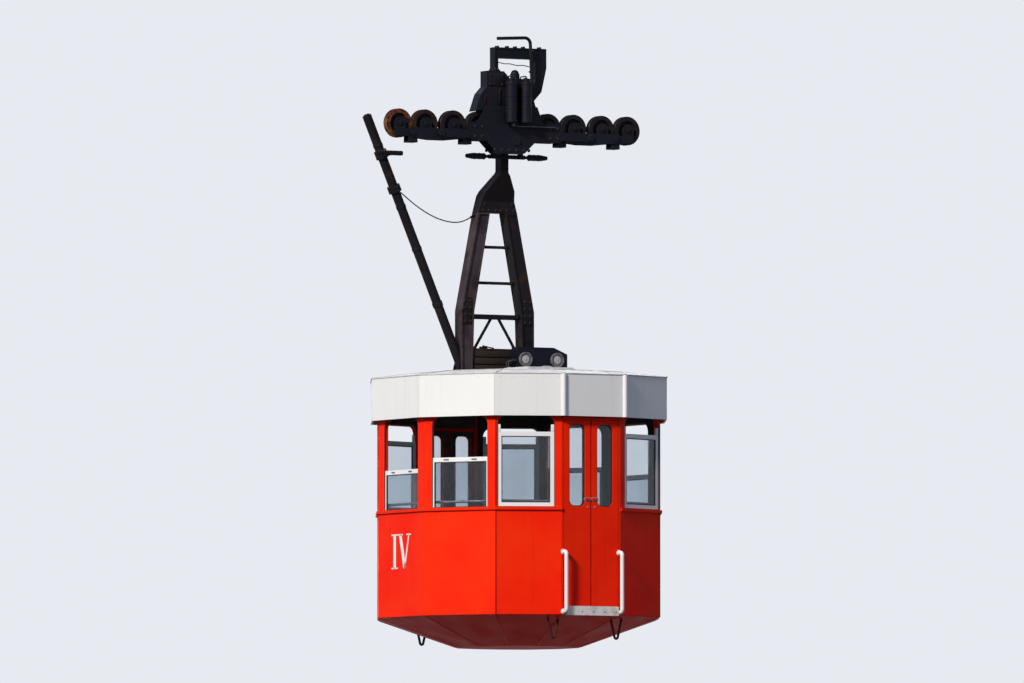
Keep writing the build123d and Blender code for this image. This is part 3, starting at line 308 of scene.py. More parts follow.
@dataclass(frozen=True)
class Paint:
    """Paint on steel that fades, streaks, chips at its edges and gathers dirt, with painted shade in its
    inner corners and, where set, a painted highlight on the -X half.
    """

    name: str
    colour: Colour
    faded: Colour
    bare: Colour  # what shows where it has chipped
    # colour of the streaks and worn spots, and of the dirt and painted shade in the inner corners
    grime_and_shade: Colour
    gloss: float
    chipping: float
    shine: float  # how much the paint mirrors, 0.5 for fresh enamel
    fading: float = 0.6
    streaking: float = 0.35
    patches: float = 0.0  # share of rust away from the edges, 0 to 1
    relief: float = 0.0014  # depth of the surface's unevenness, in metres
    # share of the dirt and painted shade in the inner corners
    corner_dirt_and_shade: float = 0.6
    lit_side_share: float = 0.0  # share of a painted highlight, a lighter tone over the -X half, which faces the key lamp
    # colour of that painted highlight
    painted_lit_side: Colour = (0.085, 0.062, 0.068)
    edge: float = 0.004  # how far wear reaches in from an edge, in metres

    def make(self) -> Material:
        """Builds the material.

        Returns:
            The material.
        """
        bench = ShaderBench(self.name)
        normal, edges = bench.rounding(self.edge)
        broad = bench.mottle(scale=1.7, detail=3.0, low=0.3, high=0.75, top=self.fading)
        fine = bench.mottle(scale=11.0, detail=5.0, low=0.2, high=0.8, top=0.22)
        colour = bench.blend(fine, bench.blend(broad, self.colour, self.faded), self.faded)
        # painted highlight: a lighter, mottled tone over the -X half, towards the key lamp
        if self.lit_side_share:
            side = bench.band(bench.axis("X"), low=0.04, high=-0.04, top=self.lit_side_share)
            painted_lit_side = bench.maths("MULTIPLY", side, bench.mottle(scale=4.0, detail=7.0, low=0.25, high=0.6))
            colour = bench.blend(painted_lit_side, colour, self.painted_lit_side)
        runs = bench.noise(1.0, 5.0, bench.shifted(stretch=(26.0, 26.0, 1.1)))
        colour = bench.blend(bench.band(runs, low=0.52, high=0.78, top=self.streaking), colour, self.grime_and_shade)
        # dirt patches laid only where ambient occlusion is dark: dirt together with painted shade in the
        # inner corners
        clotted = bench.mottle(scale=9.0, detail=4.0, low=0.25, high=0.7, top=self.corner_dirt_and_shade)
        colour = bench.blend(bench.maths("MULTIPLY", bench.corners(0.06), clotted), colour, self.grime_and_shade)
        chips = bench.mottle(scale=46.0, detail=6.0, low=0.5, high=0.62, top=self.chipping)
        rust = bench.mottle(scale=6.5, detail=9.0, low=0.52, high=0.70, top=self.patches)
        worn = bench.maths("MAXIMUM", bench.maths("MULTIPLY", edges, chips), rust)
        colour = bench.blend(worn, colour, bench.blend(bench.noise(60.0), self.bare, self.grime_and_shade))
        dull = bench.mottle(scale=5.0, detail=6.0, low=0.3, high=0.8, top=0.16)
        rough = bench.maths("ADD", bench.maths("MULTIPLY_ADD", worn, 0.45, self.gloss), dull)
        bench.set(base_color=colour, roughness=rough, specular_ior_level=self.shine)
        grain = bench.maths("MULTIPLY", bench.noise(160.0), 0.12)
        waves = bench.maths("ADD", bench.noise(3.5, 2.0), grain)
        bench.relief(bench.maths("SUBTRACT", waves, worn), self.relief, 0.6, normal)
        return bench.material


@dataclass(frozen=True)
class Metal:
    """Bare metal with scuffs, stains and dull patches, and dirt with painted shade in its inner corners."""

    name: str
    colour: Colour
    stain: Colour
    gloss: float
    staining: float
    scuffs: Three  # scale of the scuffs along each axis
    metallic: float
    # colour of the dirt and painted shade in the inner corners
    corner_dirt_and_shade: Colour = (0.02, 0.016, 0.013)

    def make(self) -> Material:
        """Builds the material.

        Returns:
            The material.
        """
        bench = ShaderBench(self.name)
        normal, edges = bench.rounding(0.002)
        stains = bench.mottle(scale=14.0, detail=8.0, low=0.42, high=0.68, top=self.staining)
        colour = bench.blend(stains, self.colour, self.stain)
        # dirt and painted shade where ambient occlusion finds inner corners
        colour = bench.blend(bench.maths("MULTIPLY", bench.corners(0.03), 0.8), colour, self.corner_dirt_and_shade)
        scuffs = bench.noise(3.0, 7.0, bench.shifted(stretch=self.scuffs))
        colour = bench.blend(bench.band(scuffs, low=0.5, high=0.75, top=0.5), colour, self.stain)
        colour = bench.blend(bench.maths("MULTIPLY", edges, 0.5), colour, self.colour)
        rough = bench.maths("MULTIPLY_ADD", stains, 0.4, self.gloss)
        rough = bench.maths("ADD", rough, bench.band(scuffs, low=0.4, high=0.8, top=0.15))
        bench.set(base_color=colour, metallic=self.metallic, roughness=rough)
        bench.relief(scuffs, 0.0004, 0.5, normal)
        return bench.material


@dataclass(frozen=True)
class WheelSteel:
    """Cast wheel: rusting rim and web, groove polished by the rope."""

    name: str
    centre: Three
    rust: float
    # where each starts and is full, out from the axle, or from the groove's middle for groove_half
    groove_radius: Span = (0.100, 0.112)
    groove_half: Span = (0.018, 0.010)
    rim_radius: Span = (0.080, 0.118)
    hub_radius: Span = (0.075, 0.040)
    cast: tuple[Colour, Colour] = ((0.0052, 0.0056, 0.0090), (0.0125, 0.0095, 0.0105))
    rusty: Colour = (0.30, 0.085, 0.022)
    greasy: Colour = (0.008, 0.007, 0.008)
    polished: Colour = (0.34, 0.33, 0.32)
    rubbed: Colour = (0.07, 0.034, 0.022)

    def make(self) -> Material:
        """Builds the material.

        Returns:
            The material.
        """
        bench = ShaderBench(self.name)
        normal, edges = bench.rounding(0.004)
        own = bench.shifted(centre=self.centre)
        flat = bench.add("VectorMath", operation="MULTIPLY")
        bench.join(own, flat.inputs[0])
        flat.inputs[1].default_value = (1.0, 0.0, 1.0)
        length = bench.add("VectorMath", operation="LENGTH")
        bench.join(flat.outputs[0], length.inputs[0])
        radius = length.outputs["Value"]
        off_middle = bench.maths("ABSOLUTE", bench.axis("Y", own))
        colour = bench.blend(bench.mottle(scale=24.0, detail=6.0, low=0.35, high=0.7), *self.cast)
        flecks = bench.mottle(scale=17.0, detail=8.0, low=0.34, high=0.62, top=self.rust)
        rim = bench.maths("MULTIPLY", bench.band(radius, *self.rim_radius), flecks)
        colour = bench.blend(rim, colour, self.rusty)
        colour = bench.blend(bench.band(radius, *self.hub_radius, top=0.85), colour, self.greasy)
        groove = bench.maths("MULTIPLY", bench.band(off_middle, *self.groove_half),
                             bench.band(radius, *self.groove_radius))
        colour = bench.blend(groove, colour, self.polished)
        colour = bench.blend(bench.maths("MULTIPLY", edges, 0.2), colour, self.rubbed)
        rough = bench.maths("SUBTRACT", 0.72, bench.maths("MULTIPLY", groove, 0.45))
        bench.set(base_color=colour, metallic=groove, roughness=rough, specular_ior_level=0.2)
        bench.relief(bench.noise(70.0, 6.0), 0.0012, 0.6, normal)
        return bench.material


@dataclass(frozen=True)
class Boards:
    """Boards with grain and dirty joints."""

    name: str
    light: Colour
    dark: Colour
    joint: Colour = (0.012, 0.009, 0.007)
    worn: Colour = (0.10, 0.085, 0.07)
    width: float = 0.12  # width of a board along Y, in metres
    gloss: float = 0.55

    def make(self) -> Material:
        """Builds the material.

        Returns:
            The material.
        """
        bench = ShaderBench(self.name)
        normal, _ = bench.rounding(0.003)
        grain = bench.noise(2.0, 9.0, bench.shifted(stretch=(1.2, 22.0, 22.0)))
        colour = bench.blend(bench.band(grain, low=0.3, high=0.7), self.light, self.dark)
        from_joint = bench.maths("PINGPONG", bench.axis("Y"), self.width / 2)
        lines = bench.band(from_joint, low=0.003, high=0.0012)
        colour = bench.blend(lines, colour, self.joint)
        wear = bench.mottle(scale=2.2, detail=6.0, low=0.45, high=0.75, top=0.5)
        colour = bench.blend(wear, colour, self.worn)
        bench.set(base_color=colour, roughness=bench.maths("MULTIPLY_ADD", wear, 0.2, self.gloss))
        height = bench.maths("SUBTRACT", bench.maths("MULTIPLY", grain, 0.3), lines)
        bench.relief(height, 0.0012, 0.7, normal)
        return bench.material


@dataclass(frozen=True)
class Rubber:
    """Rubber or plastic sheath, dull and dusty, with dirt and painted shade in its inner corners."""

    name: str
    colour: Colour
    dust: Colour
    gloss: float = 0.62
    # colour of the dirt and painted shade in the inner corners
    corner_dirt_and_shade: Colour = (0.008, 0.008, 0.008)

    def make(self) -> Material:
        """Builds the material.

        Returns:
            The material.
        """
        bench = ShaderBench(self.name)
        dusty = bench.mottle(scale=22.0, detail=7.0, low=0.4, high=0.75, top=0.5)
        # dirt and painted shade where ambient occlusion finds inner corners
        colour = bench.blend(bench.corners(0.02), bench.blend(dusty, self.colour, self.dust), self.corner_dirt_and_shade)
        bench.set(base_color=colour, roughness=bench.maths("MULTIPLY_ADD", dusty, 0.25, self.gloss))
        bench.relief(bench.noise(240.0, 3.0), 0.0003, 0.5)
        return bench.material


@dataclass(frozen=True)
class PaneGlass:
    """Window glass with a little dust, clear to shadows."""

    name: str
    tint: Colour = (0.63, 0.69, 0.74)
    dust: Colour = (0.22, 0.23, 0.25)
    ior: float = 1.45

    def make(self) -> Material:
        """Builds the material.

        Returns:
            The material.
        """
        bench = ShaderBench(self.name)
        smears = bench.noise(2.6, 6.0, bench.shifted(stretch=(3.0, 3.0, 1.0)))
        smeared = bench.band(smears, low=0.3, high=0.9, top=0.09)
        bench.set(base_color=self.tint, roughness=smeared, ior=self.ior, transmission_weight=1.0)
        film = bench.add("BsdfDiffuse")
        bench.feed(film.inputs["Color"], self.dust)
        dusty = bench.mottle(scale=2.1, detail=5.0, low=0.25, high=0.9, top=0.07)
        dirty = bench.layer(dusty, bench.shader.outputs[0], film.outputs[0])
        clear = bench.add("BsdfTransparent")
        bench.feed(clear.inputs["Color"], self.tint)
        in_shadow = bench.add("LightPath").outputs["Is Shadow Ray"]
        bench.join(bench.layer(in_shadow, dirty, clear.outputs[0]), bench.output.inputs["Surface"])
        return bench.material


class Finish(Enum):
    """The finishes that the pieces choose from, each with its own recipe."""

    RED = Paint(
        "red_paint", (0.93, 0.0125, 0.0006), (0.98, 0.032, 0.0010), (0.30, 0.020, 0.008),
        (0.20, 0.008, 0.004), gloss=0.42, fading=0.75, streaking=0.12, chipping=0.45, relief=0.0010,
        shine=0.10, corner_dirt_and_shade=0.5)
    WHITE = Paint(
        "white_paint", (0.83, 0.83, 0.81), (0.88, 0.88, 0.86), (0.34, 0.24, 0.17), (0.36, 0.32, 0.28),
        gloss=0.38, fading=0.5, streaking=0.10, chipping=0.4, relief=0.0008, shine=0.30, corner_dirt_and_shade=0.3)
    SASH = Paint(
        "sash_enamel", (0.83, 0.83, 0.82), (0.89, 0.89, 0.87), (0.40, 0.32, 0.26), (0.40, 0.37, 0.34),
        gloss=0.34, fading=0.4, streaking=0.06, chipping=0.3, relief=0.0006, shine=0.30, corner_dirt_and_shade=0.12)
    ROOF = Paint(
        "roof_paint", (0.62, 0.62, 0.60), (0.72, 0.72, 0.70), (0.26, 0.13, 0.06), (0.16, 0.13, 0.10),
        gloss=0.55, streaking=0.45, chipping=0.6, patches=0.12, relief=0.0012, shine=0.25, corner_dirt_and_shade=0.7)
    CARRIAGE = Paint(
        "carriage_paint", (0.0050, 0.0060, 0.0125), (0.012, 0.013, 0.022), (0.060, 0.022, 0.011),
        (0.005, 0.0045, 0.005), gloss=0.46, chipping=0.75, patches=0.30, shine=0.16)
    HANGER = Paint(
        "hanger_paint", (0.0070, 0.0060, 0.0085), (0.017, 0.013, 0.015), (0.080, 0.036, 0.022),
        (0.007, 0.0055, 0.0055), gloss=0.55, chipping=0.85, patches=0.40, shine=0.12)
    # the legs get a painted highlight over the -X half, towards the key lamp
    LEGS = Paint(
        "leg_paint", (0.0075, 0.0062, 0.0080), (0.020, 0.0150, 0.017), (0.100, 0.045, 0.026),
        (0.007, 0.0055, 0.0055), gloss=0.55, chipping=0.85, patches=0.48, shine=0.14, lit_side_share=0.75)
    BEAM = Paint(
        "rusty_beam", (0.024, 0.0175, 0.0145), (0.045, 0.033, 0.026), (0.085, 0.045, 0.027),
        (0.009, 0.0065, 0.0055), gloss=0.75, fading=0.7, streaking=0.5, chipping=0.9, patches=0.55,
        relief=0.0020, shine=0.12, corner_dirt_and_shade=0.7)
    BOX = Paint(
        "box_paint", (0.0038, 0.0042, 0.0125), (0.0070, 0.0080, 0.022), (0.05, 0.024, 0.018),
        (0.006, 0.005, 0.006), gloss=0.45, streaking=0.25, chipping=0.6, patches=0.10, relief=0.0008,
        shine=0.16)
    FEET = Paint(
        "foot_bar_paint", (0.045, 0.008, 0.006), (0.085, 0.014, 0.009), (0.06, 0.026, 0.016),
        (0.012, 0.006, 0.005), gloss=0.50, streaking=0.3, chipping=0.8, patches=0.25, relief=0.0006,
        shine=0.20)
    # near-black lining: its darkness also stands in for the shade inside the cabin
    LINING = Paint(
        "cabin_lining", (0.028, 0.024, 0.021), (0.040, 0.034, 0.029), (0.16, 0.13, 0.10),
        (0.012, 0.010, 0.008), gloss=0.50, fading=0.5, streaking=0.15, chipping=0.3, relief=0.0006,
        shine=0.25, corner_dirt_and_shade=0.5)
    # dark filler in the wall joints: its darkness also stands in for the shadow in the joints
    JOINT = Paint(
        "joint_filler", (0.13, 0.006, 0.003), (0.20, 0.010, 0.004), (0.05, 0.01, 0.008),
        (0.03, 0.004, 0.003), gloss=0.60, fading=0.5, streaking=0.2, chipping=0.2, relief=0.0004, shine=0.10,
        corner_dirt_and_shade=0.4)
    COVER = Metal(
        "cover_metal", (0.20, 0.19, 0.20), (0.10, 0.088, 0.088), gloss=0.50, staining=0.5,
        scuffs=(20.0, 20.0, 20.0), metallic=0.3)
    THRESHOLD = Metal(
        "threshold_plate", (0.80, 0.77, 0.72), (0.38, 0.28, 0.21), gloss=0.45, staining=0.45,
        scuffs=(3.0, 90.0, 60.0), metallic=0.10)
    PULL = Metal(
        "pull_metal", (0.40, 0.36, 0.35), (0.20, 0.10, 0.09), gloss=0.45, staining=0.5,
        scuffs=(30.0, 30.0, 30.0), metallic=0.4)
    LENS = Metal(
        "lamp_lens", (0.42, 0.40, 0.42), (0.26, 0.24, 0.25), gloss=0.35, staining=0.5,
        scuffs=(25.0, 25.0, 25.0), metallic=0.1)
    RUBBED = Metal(
        "rubbed_edge", (0.16, 0.155, 0.18), (0.05, 0.045, 0.055), gloss=0.40, staining=0.7,
        scuffs=(6.0, 60.0, 60.0), metallic=0.6)
    BOLT = Metal(
        "bolt_steel", (0.020, 0.017, 0.018), (0.045, 0.024, 0.016), gloss=0.50, staining=0.6,
        scuffs=(30.0, 30.0, 30.0), metallic=0.4)
    RUBBER = Rubber("black_rubber", (0.010, 0.010, 0.011), (0.05, 0.046, 0.042))
    SHEATH = Rubber("cable_sheath", (0.012, 0.014, 0.020), (0.07, 0.06, 0.05))
    LAMP = Rubber("lamp_glass", (0.80, 0.80, 0.76), (0.5, 0.46, 0.40), gloss=0.25)
    FLOOR = Boards("floor_board", (0.13, 0.095, 0.065), (0.055, 0.038, 0.026))
    GLASS = PaneGlass("window_glass")


Look = Union[Finish, WheelSteel]


class FinishRack:
    """Keeps one material for each finish."""

    def __init__(self) -> None:
        """Starts with no material made."""
        self.made: dict[str, Material] = {}

    def get(self, finish: Look) -> Material:
        """Gives a finish's material, and makes it the first time.

        Args:
            finish: The finish.

        Returns:
            The material.
        """
        recipe = finish.value if isinstance(finish, Finish) else finish
        if recipe.name not in self.made:
            self.made[recipe.name] = recipe.make()
        return self.made[recipe.name]


RACK = FinishRack()


# Modelling bench


def take(obj: Object) -> Object:
    """Selects one object alone and makes it active.

    Args:
        obj: The object.

    Returns:
        The same object.
    """
    bpy.ops.object.select_all(action="DESELECT")
    obj.select_set(True)
    bpy.context.view_layer.objects.active = obj
    return obj


@contextmanager
def shaping(obj: Object) -> Iterator[None]:
    """Shapes an object in edit mode, with all of its mesh selected.

    Args:
        obj: The object.

    Returns:
        The time in edit mode, for a with statement.
    """
    take(obj)
    bpy.ops.object.mode_set(mode="EDIT")
    bpy.ops.mesh.select_all(action="SELECT")
    yield
    bpy.ops.object.mode_set(mode="OBJECT")


def raise_faces(height: float) -> None:
    """Extrudes all that is selected along Z, and turns the faces outwards.

    Args:
        height: How far.
    """
    bpy.ops.mesh.extrude_region_move(TRANSFORM_OT_translate={"value": (0.0, 0.0, height)})
    bpy.ops.mesh.select_all(action="SELECT")
    bpy.ops.mesh.normals_make_consistent(inside=False)


def settle(obj: Object, place: Optional[Matrix] = None) -> Object:
    """Puts an object at a place and applies it to the mesh.

    Args:
        obj: The object.
        place: The place; its own if none.

    Returns:
        The same object.
    """
    take(obj)
    if place is not None:
        obj.matrix_world = place @ obj.matrix_world
    bpy.ops.object.transform_apply(location=True, rotation=True, scale=True)
    return obj


def soften(obj: Object, width: float, segments: int = 2) -> Object:
    """Rounds an object's sharp edges.

    Args:
        obj: The object.
        width: Radius; 0 leaves the edges sharp.
        segments: Faces across the rounding.

    Returns:
        The same object.
    """
    if width > 0.0:
        take(obj)
        rounding = obj.modifiers.new("rounding", "BEVEL")
        rounding.width = width
        rounding.segments = segments
        rounding.limit_method = "ANGLE"
        rounding.angle_limit = SHARP
        bpy.ops.object.modifier_apply(modifier="rounding")
    return obj


def join(pieces: Sequence[Object]) -> Object:
    """Joins pieces into the first one.

    Args:
        pieces: The pieces.

    Returns:
        The joined piece.
    """
    take(pieces[0])
    for piece in pieces:
        piece.select_set(True)
    if len(pieces) > 1:
        bpy.ops.object.join()
    return bpy.context.object


def facing(point: Point, normal: Point, along: Optional[Point] = None) -> Matrix:
    """Place at a point with local Z along a normal.

    Args:
        point: Where the place is.
        normal: Direction of local Z.
        along: Direction near which local X lies.

    Returns:
        The matrix of the place.
    """
    z = Vector(normal).normalized()
    if along is None:
        along = (1.0, 0.0, 0.0) if abs(z.x) < 0.9 else (0.0, 1.0, 0.0)
    x = Vector(along)
    x = (x - z * x.dot(z)).normalized()
    y = z.cross(x)
    turned = Matrix((x, y, z)).transposed().to_4x4()
    return Matrix.Translation(point) @ turned


def sideways(x: float, y: float, z: float, y_sign: int) -> Matrix:
    """Place on a face that looks along Y, with local X along the rope."""
    return facing((x, y, z), (0.0, y_sign, 0.0), (1.0, 0.0, 0.0))


def around(middle: Flat, radius: float, count: int, start: float = 0.0) -> list[Flat]:
    """Points evenly round a circle, the first one at a start in degrees."""
    angles = [math.radians(start + 360 / count * step) for step in range(count)]
    return [(middle[0] + radius * math.cos(angle), middle[1] + radius * math.sin(angle)) for angle in angles]


def block(low: Point, high: Point, rounding: float = 0.002) -> Object:
    """Block between two corners with rounded edges.

    Args:
        low: The corner with the least X, Y and Z.
        high: The corner with the most.
        rounding: Radius of its edges.

    Returns:
        The block.
    """
    low_corner, high_corner = Vector(low), Vector(high)
    bpy.ops.mesh.primitive_cube_add(size=1.0, location=(low_corner + high_corner) / 2)
    obj = bpy.context.object
    obj.scale = high_corner - low_corner
    return soften(settle(obj), rounding)


def bar(start: Point, end: Point, normal: Point, width: float, thickness: float,
        rounding: float = 0.001) -> Object:
    """Flat bar between two points, standing on them by its thickness.

    Args:
        start: One end, on the face under it.
        end: The other end.
        normal: The way out from that face.
        width: Across the bar.
        thickness: How proud it stands.
        rounding: Radius of its edges.

    Returns:
        The bar.
    """
    run = Vector(end) - Vector(start)
    out = Vector(normal) - run * (run.dot(Vector(normal)) / run.length_squared)
    obj = block((0.0, -width / 2, 0.0), (run.length, width / 2, thickness), rounding)
    return settle(obj, facing(start, out, run))


def disc(radius: float, depth: float, sides: int = 24, rounding: float = 0.0012,
         tip: Optional[float] = None) -> Object:
    """Round or many-sided bar on local Z, from its foot at the origin.

    Args:
        radius: Radius of its foot.
        depth: Its height along Z.
        sides: How many sides it has.
        rounding: Radius of its edges.
        tip: Radius of its top; the foot's if none.

    Returns:
        The bar.
    """
    top = radius if tip is None else tip
    bpy.ops.mesh.primitive_cone_add(
        vertices=sides, radius1=radius, radius2=top, depth=depth, location=(0, 0, depth / 2))
    return soften(settle(bpy.context.object), rounding)


def hollow_plate(obj: Object, border: float, height: float, rounding: float) -> Object:
    """Turns one flat face into a ring.

    Args:
        obj: The face.
        border: Width of the ring.
        height: Height of the ring.
        rounding: Radius of its edges.

    Returns:
        The ring.
    """
    with shaping(obj):
        bpy.ops.mesh.inset(thickness=border)
        bpy.ops.mesh.delete(type="FACE")
        bpy.ops.mesh.select_all(action="SELECT")
        raise_faces(height)
    return soften(obj, rounding, 1)


def ring(radius: float, border: float, height: float, sides: int = 40, rounding: float = 0.0012) -> Object:
    """Flat band on local Z, from its foot at the origin."""
    bpy.ops.mesh.primitive_circle_add(vertices=sides, radius=radius, fill_type="NGON")
    return hollow_plate(bpy.context.object, border, height, rounding)


def drawn_face(outline: Sequence[Flat]) -> Object:
    """Flat face, its edge drawn by extruding one corner from point to point.

    Args:
        outline: The corners in local X and Y.

    Returns:
        The filled face at Z = 0.
    """
    bpy.ops.mesh.primitive_plane_add(size=0.01)
    obj = bpy.context.object
    with shaping(obj):
        bpy.ops.mesh.merge(type="CENTER")
        bpy.ops.transform.translate(value=(*outline[0], 0.0))
        for (x, y), (next_x, next_y) in zip(outline, outline[1:]):
            bpy.ops.mesh.extrude_region_move(TRANSFORM_OT_translate={"value": (next_x - x, next_y - y, 0.0)})
        bpy.ops.mesh.select_all(action="SELECT")
        bpy.ops.mesh.edge_face_add()
    return obj


def plate(outline: Sequence[Flat], thickness: float, rounding: float = 0.001) -> Object:
    """Plate of any outline, from its foot at the origin along Z.

    Args:
        outline: The corners in local X and Y.
        thickness: Its height along Z.
        rounding: Radius of its edges.

    Returns:
        The plate.
    """
    obj = drawn_face(outline)
    with shaping(obj):
        raise_faces(thickness)
    return soften(obj, rounding)


def rounded_outline(width: float, height: float, corner: float, foot_corner: float) -> list[Flat]:
    """Outline of a rectangle with rounded corners, anticlockwise, centred on the origin.

    Args:
        width: Size along X.
        height: Size along Y.
        corner: Radius of the upper corners.
        foot_corner: Radius of the lower corners.

    Returns:
        The points.
    """
    points = []
    for x_sign, y_sign, start in ((1, 1, 0), (-1, 1, 90), (-1, -1, 180), (1, -1, 270)):
        radius = corner if y_sign > 0 else foot_corner
        middle = (x_sign * (width / 2 - radius), y_sign * (height / 2 - radius))
        points += around(middle, radius, 24, start)[:7]
    return points


def rounded_plate(width: float, height: float, corner: float, thickness: float) -> Object:
    """Plate with its four corners rounded alike."""
    return plate(rounded_outline(width, height, corner, corner), thickness)


def cut(obj: Object, tool: Object) -> Object:
    """Takes one closed shape out of another, and removes the tool.

    Args:
        obj: The shape that is cut.
        tool: The shape that is taken out of it.

    Returns:
        The cut shape.
    """
    take(obj)
    opening = obj.modifiers.new("opening", "BOOLEAN")
    opening.operation = "DIFFERENCE"
    opening.solver = "EXACT"
    opening.object = tool
    bpy.ops.object.modifier_apply(modifier="opening")
    bpy.data.objects.remove(tool)
    return obj


def window_ring(width: float, height: float, corner: float, foot_corner: float, border: float,
                depth: float) -> Object:
    """Ring that follows a window with rounded corners, so broad and so deep."""
    return hollow_plate(drawn_face(rounded_outline(width, height, corner, foot_corner)), border, depth, 0.0)


def rivet(radius: float, height: float) -> Object:
    """Dome head on local Z.

    Args:
        radius: Its radius.
        height: Its height.

    Returns:
        The head.
    """
    bpy.ops.mesh.primitive_uv_sphere_add(segments=10, ring_count=6, radius=radius)
    obj = bpy.context.object
    obj.scale = (1.0, 1.0, height / radius)
    with shaping(settle(obj)):
        bpy.ops.mesh.bisect(plane_co=(0, 0, 0), plane_no=(0, 0, 1), use_fill=True, clear_inner=True)
    return obj


def bolt(radius: float, height: float) -> Object:
    """Hexagon head on a washer with the bolt's end in its middle, on local Z.

    Args:
        radius: Radius of the head.
        height: Height of washer and head.

    Returns:
        The bolt.
    """
    washer = disc(radius * 1.5, height * 0.22, 18, 0.0)
    head = settle(disc(radius, height * 0.78, 6, radius * 0.1), Matrix.Translation((0, 0, height * 0.22)))
    tip = settle(disc(radius * 0.5, height * 0.25, 10, 0.0), Matrix.Translation((0, 0, height * 0.95)))
    return join([washer, head, tip])


def spread(template: Object, places: Iterable[Matrix]) -> Object:
    """Copies a template to each place, each copy with its own mesh, and joins them.

    Args:
        template: The piece that is copied.
        places: Where the copies go.

    Returns:
        The joined copies.
    """
    copies = []
    for place in places:
        copy = template.copy()
        copy.data = template.data.copy()
        bpy.context.collection.objects.link(copy)
        copy.matrix_world = place
        copies.append(copy)
    bpy.data.objects.remove(template)
    return settle(join(copies))


def smooth_line(points: Sequence[Point], radius: float, steps_between: int, roundness: int) -> Object:
    """Round line along points, with smooth bends, as a curve.

    Args:
        points: The points that it follows.
        radius: Its radius.
        steps_between: How finely it follows them.
        roundness: How finely its section is divided.

    Returns:
        The curve.
    """
    bpy.ops.curve.primitive_nurbs_path_add()
    obj = bpy.context.object
    obj.data.splines.clear()
    spline = obj.data.splines.new("NURBS")
    spline.points.add(len(points) - 1)
    for control, point in zip(spline.points, points):
        control.co = (*point, 1.0)
    spline.order_u = 3
    spline.use_endpoint_u = True
    spline.resolution_u = steps_between
    obj.data.bevel_depth = radius
    obj.data.bevel_resolution = roundness
    obj.data.use_fill_caps = True
    return obj


def pipe(points: Sequence[Point], radius: float) -> Object:
    """Rigid round pipe along points, with smooth bends, as a mesh.

    Args:
        points: The points that it follows.
        radius: Its radius.

    Returns:
        The pipe.
    """
    smooth_line(points, radius, 6, 3)
    bpy.ops.object.convert(target="MESH")
    return bpy.context.object


def steps(start: float, end: float, pitch: float) -> list[float]:
    """Even steps from start to end, about a pitch apart."""
    count = max(1, round(abs(end - start) / pitch))
    return [start + (end - start) * i / count for i in range(count + 1)]


def dress(names: Iterable[str], finish: Look) -> None:
    """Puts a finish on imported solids, every slot of them.

    Args:
        names: The solids' names.
        finish: Their finish.
    """
    material = RACK.get(finish)
    for name in names:
        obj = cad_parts[name]
        if not obj.data.materials:
            obj.data.materials.append(material)
        for slot in obj.material_slots:
            slot.material = material


def mount(obj: Object, name: str, finish: Look, body: str, slot: Optional[str] = None) -> Object:
    """Names a piece, gives it its finish and lets it ride on its body.

    Args:
        obj: The piece, its place in its mesh.
        name: Its name.
        finish: Its finish.
        body: The body that carries it.
        slot: The record's slot for its finish; not used.

    Returns:
        The piece.
    """
    faces = 0
    if obj.type == "MESH":
        with shaping(settle(obj)):
            bpy.ops.mesh.normals_make_consistent(inside=False)
        bpy.ops.object.shade_smooth_by_angle(angle=SHARP)
        faces = len(obj.data.polygons)
    obj.name = name
    obj.data.name = name
    obj.data.materials.clear()
    obj.data.materials.append(RACK.get(finish))
    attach(obj, body)
    LOG.info("piece %s on %s: %d faces", name, body, faces)
    return obj


# The cabin's plan


class Side(Enum):
    """Kinds of the cabin's twelve sides."""

    SHOULDER = "shoulder"
    QUARTER = "quarter"
    DOOR = "door"
    END = "end"


@dataclass(frozen=True)
class Facet:
    """One side of the cabin."""

    kind: Side
    middle: Vector  # of its outer face
    along: Vector
    normal: Vector
    width: float
    door_end: int  # 1 for a door at its far end, -1 at its near end

    def point(self, across: float, height: float, out: float = 0.0) -> Vector:
        """A point on the side, so far across, up and out."""
        spot = self.middle + self.along * across + self.normal * out
        return Vector((spot.x, spot.y, height))

    def place(self, across: float, height: float, out: float = 0.0) -> Matrix:
        """A place on the side, X along it, Y up and Z out."""
        return facing(self.point(across, height, out), self.normal, self.along)


